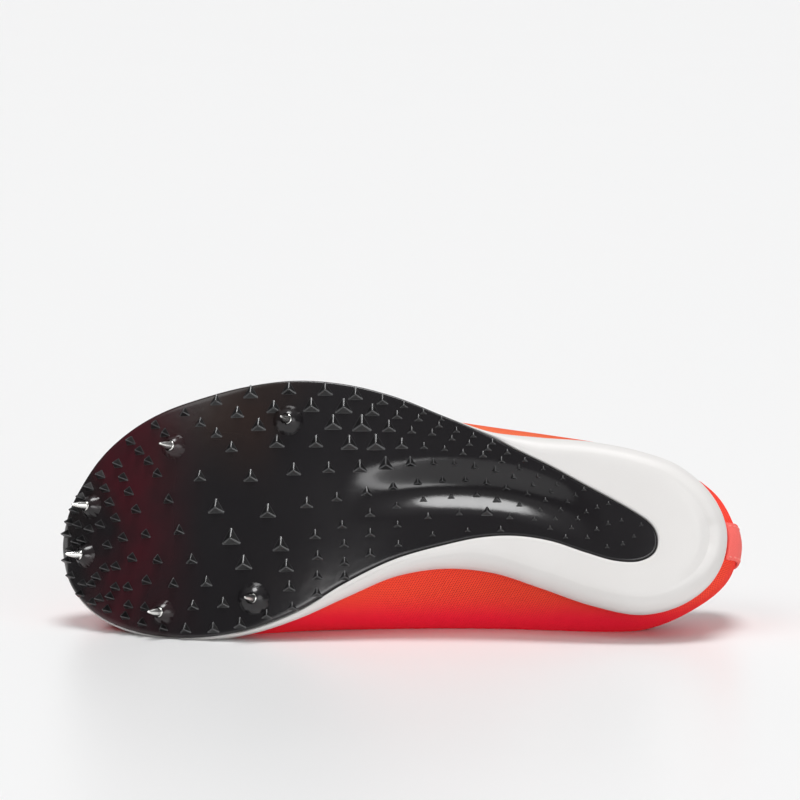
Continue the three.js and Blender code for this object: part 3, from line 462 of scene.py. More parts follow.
def piece_of(name, skins, material, charts=None, closed=True):
    """A named piece from one or more skins, welded, with its faces outwards. charts holds the place
    on the cloth of each point, in millimetres."""
    points, faces, start = [], [], 0
    for place, quads in skins:
        points.append(laid(place))
        faces.extend((quads + start).tolist())
        start += len(place)
    mesh = bpy.data.meshes.new(name)
    mesh.from_pydata(np.concatenate(points).tolist(), [], faces)
    if charts is not None:
        corners = np.concatenate([chart.reshape(-1, 2) for chart in charts])
        used = np.empty(len(mesh.loops), int)
        mesh.loops.foreach_get("vertex_index", used)
        layer = mesh.uv_layers.new(name="chart")
        layer.data.foreach_set("uv", corners[used].ravel())
    work = bmesh.new()
    work.from_mesh(mesh)
    bmesh.ops.remove_doubles(work, verts=work.verts, dist=2e-6)
    bmesh.ops.dissolve_degenerate(work, edges=work.edges, dist=1e-6)
    if closed:
        bmesh.ops.recalc_face_normals(work, faces=work.faces)
    work.to_mesh(mesh)
    work.free()
    mesh.shade_smooth()
    mesh.materials.append(material)
    made = bpy.data.objects.new(name, mesh)
    bpy.context.collection.objects.link(made)
    return made


def settled(piece):
    """The piece with its modifiers made part of its mesh."""
    graph = bpy.context.evaluated_depsgraph_get()
    mesh = bpy.data.meshes.new_from_object(piece.evaluated_get(graph))
    piece.modifiers.clear()
    old = piece.data
    piece.data = mesh
    bpy.data.meshes.remove(old)
    mesh.name = piece.name
    return piece


def modified(piece, kind, **settings):
    modifier = piece.modifiers.new(kind.lower(), kind)
    for name, value in settings.items():
        setattr(modifier, name, value)
    return piece


def out_of_tread(p):
    """The spots of the sole's underside at places, and the ways out of the sole there."""
    step = 0.5
    slope_x = (tread_up(p + (step, 0, 0)) - tread_up(p - (step, 0, 0))) / (2 * step)
    slope_y = (tread_up(p + (0, step, 0)) - tread_up(p - (0, step, 0))) / (2 * step)
    out = column_points(slope_x, slope_y, -1.0)
    return raised(p, tread_up(p)), out / np.linalg.norm(out, axis=-1, keepdims=True)


plate_stations = np.linspace(0, 1, 321)
rim_angles = np.linspace(0, np.pi / 2, 5)


def plate_rim(side):
    """The rounded edge of the plate from its top to its underside, at every station."""
    edge = plate_line.at(plate_stations, side)
    rows = [raised(edge, tread_up(edge) + plate_thickness)]
    for angle in rim_angles:
        p = plate_line.inset(plate_stations, side, plate_rim_round * (1 - np.cos(angle)))
        rows.append(raised(p, tread_up(p) + plate_rim_round * (1 - np.sin(angle))))
    return rows


def plate_rows(across=72):
    inner, outer = plate_rim(-1), plate_rim(1)
    under = []
    for share in np.linspace(0, 1, across)[1:-1]:
        p = mix(inner[-1], outer[-1], share)
        under.append(raised(p, tread_up(p)))
    over = []
    for share in np.linspace(0, 1, 9)[1:-1]:
        p = mix(outer[0], inner[0], share)
        over.append(raised(p, tread_up(p) + plate_thickness))
    return pressed(np.stack([*inner, *under, *reversed(outer), *over], axis=1))


spikes = table("at across boss", [
    (0.951, 0.17, 4.8),
    (0.961, -0.031, 4.8),
    (0.822, 0.391, 4.8),
    (0.84, -0.292, 4.8),
    (0.649, 0.483, 5.8),
    (0.702, -0.249, 6.2),
])
boss_height = 4.4
boss_foot = 0.9
boss_root = 0.8
spike_spots = column_points(spikes["at"] * sole_length, spikes["across"] * ball_width)


def ring_round(out, turns):
    """A circle of ways square to a direction."""
    along = np.cross([0.0, 1.0, 0.0], out)
    along /= np.linalg.norm(along)
    turn = np.linspace(0, 2 * np.pi, turns, endpoint=False)[:, None]
    return np.cos(turn) * along + np.sin(turn) * np.cross(out, along)


def turned_rows(middle, out, profile, turns):
    """The rows of a shape turned about a line, from its reaches and heights on that line."""
    circle = ring_round(out, turns)
    return np.stack([middle + up * out + reach * circle for reach, up in profile])


def boss_rows(spot, radius):
    """A smooth dome turned about the way out of the tread, with its foot sunk in the plate."""
    middle, out = out_of_tread(spot)
    full = radius + boss_foot
    rise = boss_height + boss_root
    profile = [(full * share, rise * (1 - share**2) - boss_root) for share in np.linspace(1, 0, 40)]
    return turned_rows(middle, out, [(0, -boss_root), *profile], 96)


plate_black = srgb(25, 23, 25)
toe_red = srgb(66, 16, 26)
warm_patch = srgb(46, 31, 25)


def plate_finish():
    """Half-gloss black, mottled by the moulding, with a red tint in a band behind the toe."""
    f = Finish("plate_black")
    place = f.place()
    x, _, z = f.parts(place)
    cloud = f.noise(place, 28.0, 3.0)
    edge = x + cloud * 0.02
    toe_light = edge.between(-0.122, -0.108) * (1 - edge.between(-0.1, -0.066)) * cloud.between(0.25, 0.7)
    warm = f.noise(place, 14.0, 2.0).between(0.45, 0.75) * (1 - x.between(-0.06, -0.01)) * 0.7
    colour = f.mixed(toe_light, f.mixed(warm, plate_black, warm_patch), toe_red)
    grain = f.noise(place, 2600.0, 2.0)
    flow = f.noise(place, 220.0, 3.0)
    relief = f.relief(flow, 0.00006, below=f.relief(grain, 0.00001))
    return f.surface(
        Base_Color=colour,
        Roughness=f.noise(place, 60.0, 4.0) * 0.06 + 0.17,
        IOR=1.48,
        Normal=relief,
    )


spike_lean = math.radians(18)
spike_seat = 2.2
spike_shoulder_radius = 2.1
spike_stem_radius = 1.5
spike_stem_length = 2.6
seat_gap = 0.3


def spike_axis(spot):
    """The middle of a spike's seat and the way that it points: out of the sole and towards the toe."""
    foot, out = out_of_tread(spot)
    hinge = np.cross(out, [1.0, 0.0, 0.0])
    hinge /= np.linalg.norm(hinge)
    axis = out * math.cos(spike_lean) + np.cross(hinge, out) * math.sin(spike_lean)
    return foot + spike_seat * out, axis


def socket_rows(spot):
    """The hole for a spike: a blind bore with a round seat for the spike's shoulder."""
    bore = spike_stem_radius + seat_gap
    mouth = spike_shoulder_radius + seat_gap
    deep = -spike_stem_length - seat_gap
    profile = [(0, deep), (bore, deep), (bore, 0), (mouth, 0), (mouth, boss_height), (0, boss_height)]
    return turned_rows(*spike_axis(spot), profile, 48)


plate_material = plate_finish()
plate = piece_of("plate_body", [skin(plate_rows(), wrap=True)], plate_material)
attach(plate, "root")
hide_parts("plate")

boss_skins = [skin(boss_rows(spot, radius), wrap=True) for spot, radius in zip(spike_spots, spikes["boss"])]
bosses = piece_of("plate_bosses", boss_skins, plate_material)
sockets = piece_of("sockets", [skin(socket_rows(spot), wrap=True) for spot in spike_spots], plate_material)
modified(bosses, "BOOLEAN", operation="DIFFERENCE", object=sockets, solver="EXACT")
settled(bosses)
bosses.data.shade_smooth()
bosses.data.set_sharp_from_angle(angle=math.radians(35))
bpy.data.objects.remove(sockets)
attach(bosses, "root")
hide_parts("plate")


# Nubs
# Three-sided traction nubs moulded with the plate, each with a corner towards the outer side of the
# foot. They stand in curved files across it, small at the toe and tail and big at the ball.
def along_curve(points, count):
    return through(np.array(points, float), np.linspace(0, 1, count))


nub_files = [
    (3, (0.989, -0.045, 3.2), (0.983, -0.11, 3.2), (0.968, -0.19, 3.2)),
    (5, (0.989, 0.065, 3.4), (0.976, -0.07, 3.4), (0.949, -0.23, 3.4)),
    (6, (0.984, 0.113, 3.5), (0.967, -0.03, 3.5), (0.945, -0.181, 3.5), (0.925, -0.265, 3.5)),
    (7, (0.977, 0.161, 3.5), (0.965, 0.033, 3.5), (0.942, -0.127, 3.5), (0.897, -0.298, 3.5)),
    (8, (0.966, 0.212, 3.5), (0.95, 0.05, 3.6), (0.918, -0.15, 3.6), (0.871, -0.33, 3.5)),
    (8, (0.953, 0.25, 3.6), (0.932, 0.06, 3.6), (0.9, -0.15, 3.7), (0.839, -0.355, 3.6)),
    (9, (0.935, 0.295, 3.6), (0.915, 0.135, 3.7), (0.88, -0.09, 3.8), (0.805, -0.366, 4.2)),
    (9, (0.908, 0.335, 3.7), (0.884, 0.17, 3.7), (0.84, -0.11, 3.9), (0.763, -0.368, 4.5)),
    (10, (0.888, 0.425, 3.7), (0.847, 0.282, 3.8), (0.795, -0.082, 4.3), (0.723, -0.356, 4.7)),
    (10, (0.85, 0.485, 3.7), (0.806, 0.365, 3.7), (0.735, 0.0, 6.7), (0.683, -0.318, 3.8)),
    (10, (0.805, 0.53, 3.8), (0.734, 0.374, 4.6), (0.661, -0.035, 6.0), (0.645, -0.288, 3.7)),
    (10, (0.757, 0.572, 4.6), (0.666, 0.391, 5.6), (0.61, 0.006, 4.2), (0.608, -0.243, 3.8)),
    (10, (0.705, 0.601, 5.4), (0.608, 0.388, 5.2), (0.57, 0.046, 3.5), (0.567, -0.18, 3.9)),
    (9, (0.648, 0.611, 5.4), (0.565, 0.41, 6.4), (0.531, 0.15, 4.0), (0.529, -0.072, 3.7)),
    (9, (0.594, 0.605, 5.6), (0.525, 0.407, 7.0), (0.492, 0.178, 3.5), (0.487, -0.033, 2.9)),
    (9, (0.549, 0.585, 5.4), (0.486, 0.4, 4.9), (0.455, 0.2, 3.3), (0.436, 0.005, 2.3)),
    (9, (0.509, 0.56, 4.4), (0.453, 0.39, 3.0), (0.417, 0.21, 3.0), (0.384, 0.02, 2.2)),
    (4, (0.477, 0.54, 3.1), (0.445, 0.455, 3.2), (0.417, 0.357, 2.5)),
    (3, (0.448, 0.51, 2.6), (0.425, 0.455, 2.8), (0.406, 0.4, 2.6)),
    (2, (0.421, 0.48, 2.3), (0.399, 0.432, 2.6)),
    (4, (0.374, 0.41, 2.4), (0.384, 0.36, 2.8), (0.403, 0.298, 2.5)),
    (5, (0.346, 0.38, 2.6), (0.36, 0.329, 3.0), (0.387, 0.234, 2.9)),
    (5, (0.324, 0.338, 2.6), (0.342, 0.268, 3.0), (0.37, 0.17, 3.3)),
    (6, (0.298, 0.305, 2.2), (0.32, 0.222, 2.8), (0.355, 0.093, 4.0)),
    (7, (0.271, 0.268, 1.9), (0.295, 0.172, 2.4), (0.335, 0.02, 2.6)),
    (6, (0.242, 0.228, 1.9), (0.264, 0.16, 2.1), (0.285, 0.062, 2.2)),
    (6, (0.211, 0.18, 1.9), (0.241, 0.118, 2.1), (0.262, 0.023, 2.1)),
    (6, (0.175, 0.12, 1.8), (0.215, 0.076, 2.0), (0.239, -0.015, 2.0)),
    (4, (0.156, 0.05, 1.8), (0.185, 0.028, 2.0), (0.207, -0.018, 2.0)),
    (4, (0.127, 0.03, 1.8), (0.145, -0.035, 1.8), (0.178, -0.058, 1.9)),
]
# The nubs' black is darker than the plate's, as painted shade on their flanks; the grey is a painted
# highlight on their ridges.
nub_black = srgb(17, 16, 17)
ridge_highlight_grey = srgb(70, 70, 71)
nub_slimness = 0.34
toe_nub_slimness = 1.15
nub_root = 0.15
nub_reach = 0.62


def nub_spots():
    """Places of the nubs, and the widths of their feet. Charts go from the outer side to the inner."""
    charts = np.concatenate([
        along_curve([(at * sole_length, across * ball_width, side) for at, across, side in path], count)
        for count, *path in nub_files
    ])
    spots, sides = charts * (1, 1, 0), charts[:, 2]
    at, reach = spots[:, 0] / sole_length, nub_reach * sides
    low = read_smooth(plate_edge, at, "inner") * ball_width + reach
    high = read_smooth(plate_edge, at, "outer") * ball_width - reach
    spots[:, 1] = np.clip(spots[:, 1], low, high)
    away = np.linalg.norm((spots[:, None] - spike_spots[None])[..., :2], axis=-1)
    clear = (away > spikes["boss"] + 0.5 * reach[:, None]).all(axis=1)
    return spots[clear], sides[clear]


def spread(name, spots, out, towards, sizes, shape, material):
    """One mesh of like shapes on spots of the shoe, each with sizes of its own in millimetres. The
    shape stands along Z with its front along X, and is removed at the end."""
    cloud = bpy.data.meshes.new(name)
    cloud.from_pydata(laid(spots).tolist(), [], [])
    vectors = {"out": out @ onto_side.T, "towards": towards @ onto_side.T, "sizes": sizes / 1000}
    for label, values in vectors.items():
        layer = cloud.attributes.new(label, "FLOAT_VECTOR", "POINT")
        layer.data.foreach_set("vector", values.astype(np.float32).ravel())
    piece = bpy.data.objects.new(name, cloud)
    bpy.context.collection.objects.link(piece)

    tree = bpy.data.node_groups.new(name, "GeometryNodeTree")
    tree.interface.new_socket("Spots", in_out="INPUT", socket_type="NodeSocketGeometry")
    wanted = {}
    for label, kind, value in (("Shape", "Object", shape), ("Material", "Material", material)):
        socket = tree.interface.new_socket(label, in_out="INPUT", socket_type=f"NodeSocket{kind}")
        wanted[socket.identifier] = value
    tree.interface.new_socket("Shapes", in_out="OUTPUT", socket_type="NodeSocketGeometry")

    def node(kind, settings=None, sockets=None, out=0):
        return Socket(tree, finish_node(tree, kind, settings, sockets).outputs[out])

    entry = tree.nodes.new("NodeGroupInput")
    inputs = {socket.name: Socket(tree, socket) for socket in entry.outputs if socket.name}
    read = {
        label: node("GeometryNodeInputNamedAttribute", {"data_type": "FLOAT_VECTOR"}, {"Name": label})
        for label in vectors
    }
    facing = node(
        "FunctionNodeAxesToRotation", {"primary_axis": "Z", "secondary_axis": "X"},
        {"Primary Axis": read["out"], "Secondary Axis": read["towards"]})
    drawn = node("GeometryNodeObjectInfo", {}, {"Object": inputs["Shape"]}, out="Geometry")
    placed = node("GeometryNodeInstanceOnPoints", {}, {
        "Points": inputs["Spots"],
        "Instance": drawn,
        "Rotation": facing,
        "Scale": read["sizes"],
    })
    real = node("GeometryNodeRealizeInstances", {}, {"Geometry": placed})
    dressed = node("GeometryNodeSetMaterial", {}, {"Geometry": real, "Material": inputs["Material"]})
    finish_node(tree, "NodeGroupOutput", {}, {"Shapes": dressed})

    modifier = piece.modifiers.new("spread", "NODES")
    modifier.node_group = tree
    for identifier, value in wanted.items():
        modifier[identifier] = value
    settled(piece)
    bpy.data.objects.remove(shape)
    return piece


nub_rings = [
    {"reach": 1.14, "up": 0.0, "ridge": 0.12},
    {"reach": 1.0, "up": 0.14, "ridge": 0.1},
    {"reach": 0.1, "up": 0.95, "ridge": 0.07},
    {"reach": 0.0, "up": 1.0, "ridge": 0.0},
]
nub_crest = 0.35


def loose_shape(name, points, faces, marks=None):
    """An object that spread() copies, welded, with faces outwards. marks, the shares of painted highlight,
    go on its faces as ridge.
    """
    mesh = bpy.data.meshes.new(name)
    mesh.from_pydata(points, [], faces)
    if marks is not None:
        layer = mesh.attributes.new("ridge", "FLOAT", "FACE")
        layer.data.foreach_set("value", marks)
    work = bmesh.new()
    work.from_mesh(mesh)
    bmesh.ops.remove_doubles(work, verts=work.verts, dist=1e-5)
    bmesh.ops.recalc_face_normals(work, faces=work.faces)
    work.to_mesh(mesh)
    work.free()
    made = bpy.data.objects.new(name, mesh)
    bpy.context.collection.objects.link(made)
    return made


def nub_shape():
    """A nub one unit high and wide: three flat flanks, with a narrow crested ridge between each two
    and a low foot round it. The faces that catch the light are marked for a painted highlight: the
    ridges in full and the foot's flanks by half."""
    points, faces, marks = [], [], []
    for ring in nub_rings:
        for turn in np.radians((0, 120, 240)):
            ahead = np.array([math.cos(turn), math.sin(turn), 0])
            aside = np.array([-math.sin(turn), math.cos(turn), 0])
            for side in (-1, 0, 1):
                crest = (1 - abs(side)) * nub_crest * ring["ridge"]
                middle = (ring["reach"] + crest) * ahead + side * ring["ridge"] * aside
                points.append(middle + (0, 0, ring["up"]))
    for level in range(len(nub_rings) - 1):
        for k in range(9):
            a, b = level * 9 + k, level * 9 + (k + 1) % 9
            faces.append((a, b, b + 9, a + 9))
            # Ridge strips take the full painted highlight, the foot's flanks half of it, and the rest none.
            marks.append(1.0 if k % 3 < 2 else 0.5 if level == 0 else 0.0)
    return loose_shape("nub", points, faces + [tuple(range(8, -1, -1))], [*marks, 0.0])


def nub_finish():
    """The plate's black, made darker as painted shade on the flanks, with a painted highlight that makes it
    paler along the ridges, where it is also smoother.
    """
    f = Finish("nub_black")
    # ridge holds the share of painted highlight on each face.
    ridge = f.node("ShaderNodeAttribute", {"attribute_name": "ridge"}, out=2)
    return f.surface(
        Base_Color=f.mixed(ridge, nub_black, ridge_highlight_grey),
        Roughness=0.34 - ridge * 0.1,
        IOR=1.5,
    )


nub_places, nub_widths = nub_spots()
nub_feet, nub_out = out_of_tread(nub_places)
outer_side = np.array([0.0, 1.0, 0.0])
slimness = mix(nub_slimness, toe_nub_slimness, smooth(nub_places[:, 0] / sole_length, 0.76, 0.88))
nub_heights = nub_widths * slimness
nub_reaches = nub_widths / math.sqrt(3)
nubs = spread(
    "plate_nubs",
    nub_feet - nub_root * nub_out,
    nub_out,
    outer_side - nub_out * (nub_out @ outer_side)[:, None],
    np.stack([nub_reaches, nub_reaches, nub_heights + nub_root], axis=-1),
    nub_shape(),
    nub_finish(),
)
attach(nubs, "root")
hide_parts("plate")


# Spikes
# Six turned steel pins, each screwed down into its boss. The cone stands on a thin flange, and its
# tip is ground to a small round end.
spike_turns = 48
spike_profile = [
    (0.0, -2.3), (1.5, -2.3), (1.5, 0.3), (2.0, 0.3), (2.1, 0.4), (2.1, 1.05), (2.0, 1.2),
    (1.86, 1.24), (1.78, 1.32), (1.75, 1.5), (1.68, 2.0), (1.5, 3.2), (1.12, 5.0), (0.66, 6.7),
    (0.4, 7.5), (0.22, 7.74), (0.0, 7.8),
]


def steel_finish():
    """Plated steel with fine turning marks round it."""
    f = Finish("spike_steel")
    _, up, _ = f.parts(f.cloth_place())
    marks = f.noise(f.node("ShaderNodeCombineXYZ", {}, {"X": up}), 6.0, 3.0)
    return f.surface(
        Base_Color=srgb(226, 225, 222),
        Metallic=1.0,
        Roughness=marks * 0.12 + 0.1,
        Normal=f.relief(marks, 0.00002),
    )


steel_material = steel_finish()
for number, spot in enumerate(spike_spots, 1):
    rows = turned_rows(*spike_axis(spot), spike_profile, spike_turns)
    turn = np.linspace(0, 2 * np.pi, spike_turns, endpoint=False)
    chart = np.stack(np.broadcast_arrays(turn, [[up] for _, up in spike_profile]), axis=-1)
    spike = piece_of(f"spike_pin_{number}", [skin(rows, wrap=True)], steel_material, [chart])
    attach(spike, "root")
    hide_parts(f"spike_{number}")


# Midsole
# White foam moulded in one piece, with a skinned surface. It thickens from the toe to the heel,
# rolls under to the ground at the heel and waist, and holds the plate in a pocket with a soft lip.
foam_rim = 0.7
foam_round = 7.5
foam_draft = 0.9
feather_inset = 3.0
footbed_cup = 2.6
upper_wall = 1.5
insole_inset = feather_inset + upper_wall + 0.9
pocket_reach = 60
lip_round = 0.8
lip_gap = 0.1

foam_stations = np.linspace(0, 1, 241)


def footbed_rows(stations, shares, up=0.0):
    """The cupped footbed, across the shoe from its inner side to its outer one."""
    inner = sole_line.inset(stations, -1, insole_inset)
    outer = sole_line.inset(stations, 1, insole_inset)
    fade = smooth(stations, 0, 0.1) * (1 - smooth(stations, 0.9, 1))
    rows = []
    for share in shares:
        p = mix(inner, outer, share)
        at = p[..., 0] / sole_length
        cup = mix(footbed_cup, footbed_cup * 0.4, smooth(at, 0.3, 0.7)) * fade
        hollow = 1 - np.abs(2 * share - 1) ** 3
        rows.append(raised(p, edge_up(at) - cup * hollow + up))
    return rows


def foam_base(p, bare):
    return tread_up(p) + mix(plate_thickness + 2 * seat_gap, -foam_rim, bare)


def pocket_edge(stations, side):
    """The plate's edge, grown by the gap round it, at the places that face the foam's own edge."""
    fine = np.linspace(0, 1, 4001)
    plate_x = plate_line.at(fine, side)[..., 0]
    sole_x = sole_line.at(stations, side)[..., 0]
    tail = plate_x[0]
    facing = np.where(sole_x < pocket_reach, tail + sole_x * (pocket_reach - tail) / pocket_reach, sole_x)
    return plate_line.inset(np.interp(facing, plate_x, fine), side, -seat_gap)


def foam_half(side):
    """One side of the foam at every station: from the upper's margin, down its side and round to the
    lip, and under the plate."""
    line = sole_line.at(foam_stations, side)
    at = line[..., 0] / sole_length
    name = "outer" if side > 0 else "inner"
    beyond = np.abs(read_smooth(sole, at, name) - read_smooth(plate_edge, at, name)) * ball_width
    bare = np.where(at < plate_edge["at"][1], 1.0, smooth(beyond, 1.2, 6))
    bottom, top = foam_base(line, bare), edge_up(at)
    inwards = -sole_line.outward(foam_stations, side)
    lip = pocket_edge(foam_stations, side)
    room = ((lip - line) * inwards)[..., :2].sum(-1)
    roll = np.clip(mix(foam_draft, foam_round, bare), 0.1, np.maximum(0.7 * room, 0.1))

    def place(distance, share):
        p = sole_line.inset(foam_stations, side, distance)
        return raised(p, mix(bottom, top, share))

    margin = sole_line.inset(foam_stations, side, feather_inset)
    profile = np.stack([
        raised(margin, edge_up(margin[..., 0] / sole_length)),
        place(1.5, 1.0),
        place(0.5, 0.8),
        place(0.0, 0.5),
        place(roll * 0.1, mix(0.25, 0.27, bare)),
        place(roll * 0.42, mix(0.05, 0.08, bare)),
        place(roll * 0.74, mix(0.01, 0.016, bare)),
        place(roll, 0.0),
    ], axis=1)
    side_rows = list(np.moveaxis(through(profile, np.linspace(0, 1, 31)), 1, 0))

    foot = side_rows[-1]
    ahead = ((lip - foot) * inwards)[..., :2].sum(-1)
    lip = np.where((ahead < lip_gap)[..., None], foot + lip_gap * inwards, lip)
    gap = np.linalg.norm((lip - foot)[..., :2], axis=-1)
    round_in = np.minimum(lip_round, 0.6 * gap)
    under_rows = []
    for share in np.linspace(0, 1, 15)[1:]:
        p = mix(foot, lip, 1 - (1 - share) ** 1.8)
        left = np.linalg.norm((lip - p)[..., :2], axis=-1)
        dip = round_in * (1 - np.sqrt(1 - np.clip(1 - left / np.maximum(round_in, 1e-6), 0, 1) ** 2))
        under_rows.append(raised(p, foam_base(p, bare) + dip * bare))
    under_rows.append(raised(lip, tread_up(lip) + plate_thickness + 2 * seat_gap))
    return side_rows + under_rows


def foam_rows():
    inner, outer = foam_half(-1), foam_half(1)
    hidden = []
    for share in np.linspace(0, 1, 9)[1:-1]:
        p = mix(inner[-1], outer[-1], share)
        hidden.append(raised(p, tread_up(p) + plate_thickness + 2 * seat_gap))
    bed = footbed_rows(foam_stations, np.linspace(1, 0, 25))
    return pressed(np.stack([*inner, *hidden, *reversed(outer), *bed], axis=1))


def foam_finish():
    """White foam with a faint skin, a little greyer and rougher where it has been handled."""
    f = Finish("foam_white")
    place = f.place()
    worn = f.noise(place, 18.0, 3.0).between(0.45, 0.8)
    pores = f.noise(place, 1500.0, 3.0)
    waves = f.noise(place, 90.0, 2.0)
    return f.surface(
        Base_Color=f.mixed(worn * 0.35, srgb(217, 215, 213), srgb(209, 206, 203)),
        Roughness=f.noise(place, 40.0, 3.0) * 0.15 + 0.42,
        Normal=f.relief(waves, 0.00008, below=f.relief(pores, 0.00002)),
    )


midsole = piece_of("midsole_foam", [skin(foam_rows(), wrap=True)], foam_finish())
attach(midsole, "root")
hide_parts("midsole")


# Insole
# A thin cushion of foam under brushed cloth, cut to lie in the footbed's cup inside the upper.
insole_thickness = 3.0
insole_edge = 0.8


def cloth_finish(name, light, dark, pitch):
    """Plain woven cloth: two sets of threads in millimetres of the piece's own chart."""
    f = Finish(name)
    along, across, _ = f.parts(f.cloth_place())
    warp = (along * (2 * math.pi / pitch)).sine()
    fill = (across * (2 * math.pi / pitch)).sine()
    threads = warp * fill * 0.5 + 0.5
    worn = f.noise(f.place(), 60.0, 3.0)
    return f.surface(
        Base_Color=f.mixed(threads * 0.5 + worn * 0.5, dark, light),
        Roughness=worn * 0.15 + 0.75,
        Normal=f.relief(threads, 0.00015),
    )


def chart_of(rows):
    """A chart of a grid by its own lengths along its columns and rows, in millimetres."""
    steps_down = np.linalg.norm(np.diff(rows, axis=0), axis=-1).mean(axis=1)
    steps_over = np.linalg.norm(np.diff(rows, axis=1), axis=-1)
    down = np.concatenate([[0], np.cumsum(steps_down)])
    over = np.concatenate([np.zeros((len(rows), 1)), np.cumsum(steps_over, axis=1)], axis=1)
    over -= over[:, -1:] / 2
    return np.stack([np.broadcast_to(down[:, None], over.shape), over], axis=-1)


insole_shares = np.concatenate([[0], np.linspace(0.004, 0.996, 33), [1]])
insole_low = footbed_rows(foam_stations, insole_shares, seat_gap)
insole_high = footbed_rows(foam_stations, insole_shares, seat_gap + insole_thickness)
for rows, lift in ((insole_low, insole_edge), (insole_high, -insole_edge)):
    rows[0][..., 2] += lift
    rows[-1][..., 2] += lift
insole_rows = pressed(np.stack([*insole_low, *reversed(insole_high)], axis=1))
insole = piece_of(
    "insole_pad",
    [skin(insole_rows, wrap=True)],
    cloth_finish("insole_cloth", srgb(244, 120, 104), srgb(214, 80, 70), 0.9),
    [chart_of(insole_rows)],
)
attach(insole, "root")
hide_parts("insole")


# Upper
# One piece of coral knit, closed over the foot on the last and open at the collar and the throat.
# The knit is tight, with rows of tiny holes set like a honeycomb, and a paler lining shows inside.
last_height = 100
wide = table("at inner outer up", [
    (0.0, -0.01, -0.01, 0.34),
    (0.01, -0.125, 0.1, 0.34),
    (0.03, -0.21, 0.2, 0.34),
    (0.07, -0.295, 0.295, 0.34),
    (0.125, -0.355, 0.37, 0.35),
    (0.2, -0.374, 0.42, 0.36),
    (0.27, -0.365, 0.456, 0.38),
    (0.34, -0.352, 0.488, 0.4),
    (0.415, -0.347, 0.518, 0.4),
    (0.49, -0.345, 0.545, 0.38),
    (0.56, -0.345, 0.59, 0.34),
    (0.64, -0.355, 0.62, 0.29),
    (0.72, -0.375, 0.61, 0.25),
    (0.79, -0.385, 0.572, 0.255),
    (0.86, -0.372, 0.51, 0.29),
    (0.91, -0.338, 0.435, 0.34),
    (0.95, -0.278, 0.342, 0.395),
    (0.975, -0.205, 0.245, 0.43),
    (0.99, -0.125, 0.15, 0.455),
    (1.0, 0.015, 0.015, 0.47),
])
shoulder = table("at inner outer up", [
    (0.0, -0.01, -0.01, 0.62),
    (0.01, -0.11, 0.09, 0.62),
    (0.03, -0.17, 0.165, 0.615),
    (0.07, -0.235, 0.25, 0.605),
    (0.125, -0.275, 0.305, 0.595),
    (0.2, -0.295, 0.33, 0.59),
    (0.27, -0.295, 0.345, 0.6),
    (0.34, -0.29, 0.355, 0.615),
    (0.415, -0.285, 0.365, 0.62),
    (0.49, -0.275, 0.39, 0.59),
    (0.56, -0.275, 0.43, 0.55),
    (0.64, -0.285, 0.47, 0.495),
    (0.72, -0.3, 0.485, 0.455),
    (0.79, -0.31, 0.47, 0.46),
    (0.86, -0.305, 0.42, 0.485),
    (0.91, -0.28, 0.36, 0.515),
    (0.95, -0.23, 0.285, 0.54),
    (0.975, -0.17, 0.205, 0.56),
    (0.99, -0.105, 0.125, 0.57),
    (1.0, 0.01, 0.01, 0.575),
])
ridge = table("at across up", [
    (0.0, 0.02, 0.98),
    (0.01, 0.02, 0.98),
    (0.03, 0.02, 0.98),
    (0.07, 0.03, 0.98),
    (0.125, 0.035, 0.98),
    (0.2, 0.04, 0.98),
    (0.27, 0.05, 0.97),
    (0.34, 0.06, 0.95),
    (0.415, 0.065, 0.89),
    (0.49, 0.07, 0.8),
    (0.56, 0.07, 0.72),
    (0.64, 0.065, 0.65),
    (0.72, 0.05, 0.6),
    (0.79, 0.035, 0.585),
    (0.86, 0.02, 0.585),
    (0.91, 0.015, 0.59),
    (0.95, 0.01, 0.595),
    (0.975, 0.01, 0.6),
    (0.99, 0.01, 0.6),
    (1.0, 0.01, 0.6),
])
wide_ends = (-0.007, 0.994)
shoulder_ends = (-0.004, 0.967)
ridge_ends = (0.024, 0.935)
collar = table("at up", [
    (-0.04, 0.73),
    (0.03, 0.715),
    (0.08, 0.66),
    (0.145, 0.585),
    (0.215, 0.545),
    (0.29, 0.555),
    (0.35, 0.61),
    (0.395, 0.69),
    (0.425, 0.77),
    (0.435, 0.86),
])
throat_back = 0.435 * sole_length
throat_front = 0.72 * sole_length
throat_back_width = 30
throat_front_width = 17
throat_overlap = 30
heel_padding = 2.2
knit_pitch = 1.0


def last_points(rows, ends, column):
    along = mix(*ends, rows["at"]) * sole_length
    return column_points(along, rows[column] * ball_width, rows["up"] * last_height)


wide_line = Outline(last_points(wide, wide_ends, "outer"), last_points(wide, wide_ends, "inner"))
shoulder_line = Outline(
    last_points(shoulder, shoulder_ends, "outer"), last_points(shoulder, shoulder_ends, "inner"))
ridge_points = last_points(ridge, ridge_ends, "across")


def feather_points(stations, side):
    p = sole_line.inset(stations, side, np.full(len(stations), feather_inset))
    return raised(p, edge_up(p[..., 0] / sole_length) + seat_gap)


def filled(p):
    """Points of the last with the padding behind the heel."""
    low, high = smooth(p[..., 2], 20, 32), 1 - smooth(p[..., 2], 56, 76)
    back = (1 - smooth(p[..., 0], -2, 18)) * low * high
    return p - back[..., None] * (heel_padding, 0, 0)


def last_at(stations, shares):
    """Points of the last at stations, at shares of the way over the foot from its inner feather line."""
    controls = np.stack([
        feather_points(stations, -1),
        wide_line.at(stations, -1),
        shoulder_line.at(stations, -1),
        through(ridge_points, stations),
        shoulder_line.at(stations, 1),
        wide_line.at(stations, 1),
        feather_points(stations, 1),
    ], axis=1)
    return pressed(filled(through(controls, shares)))


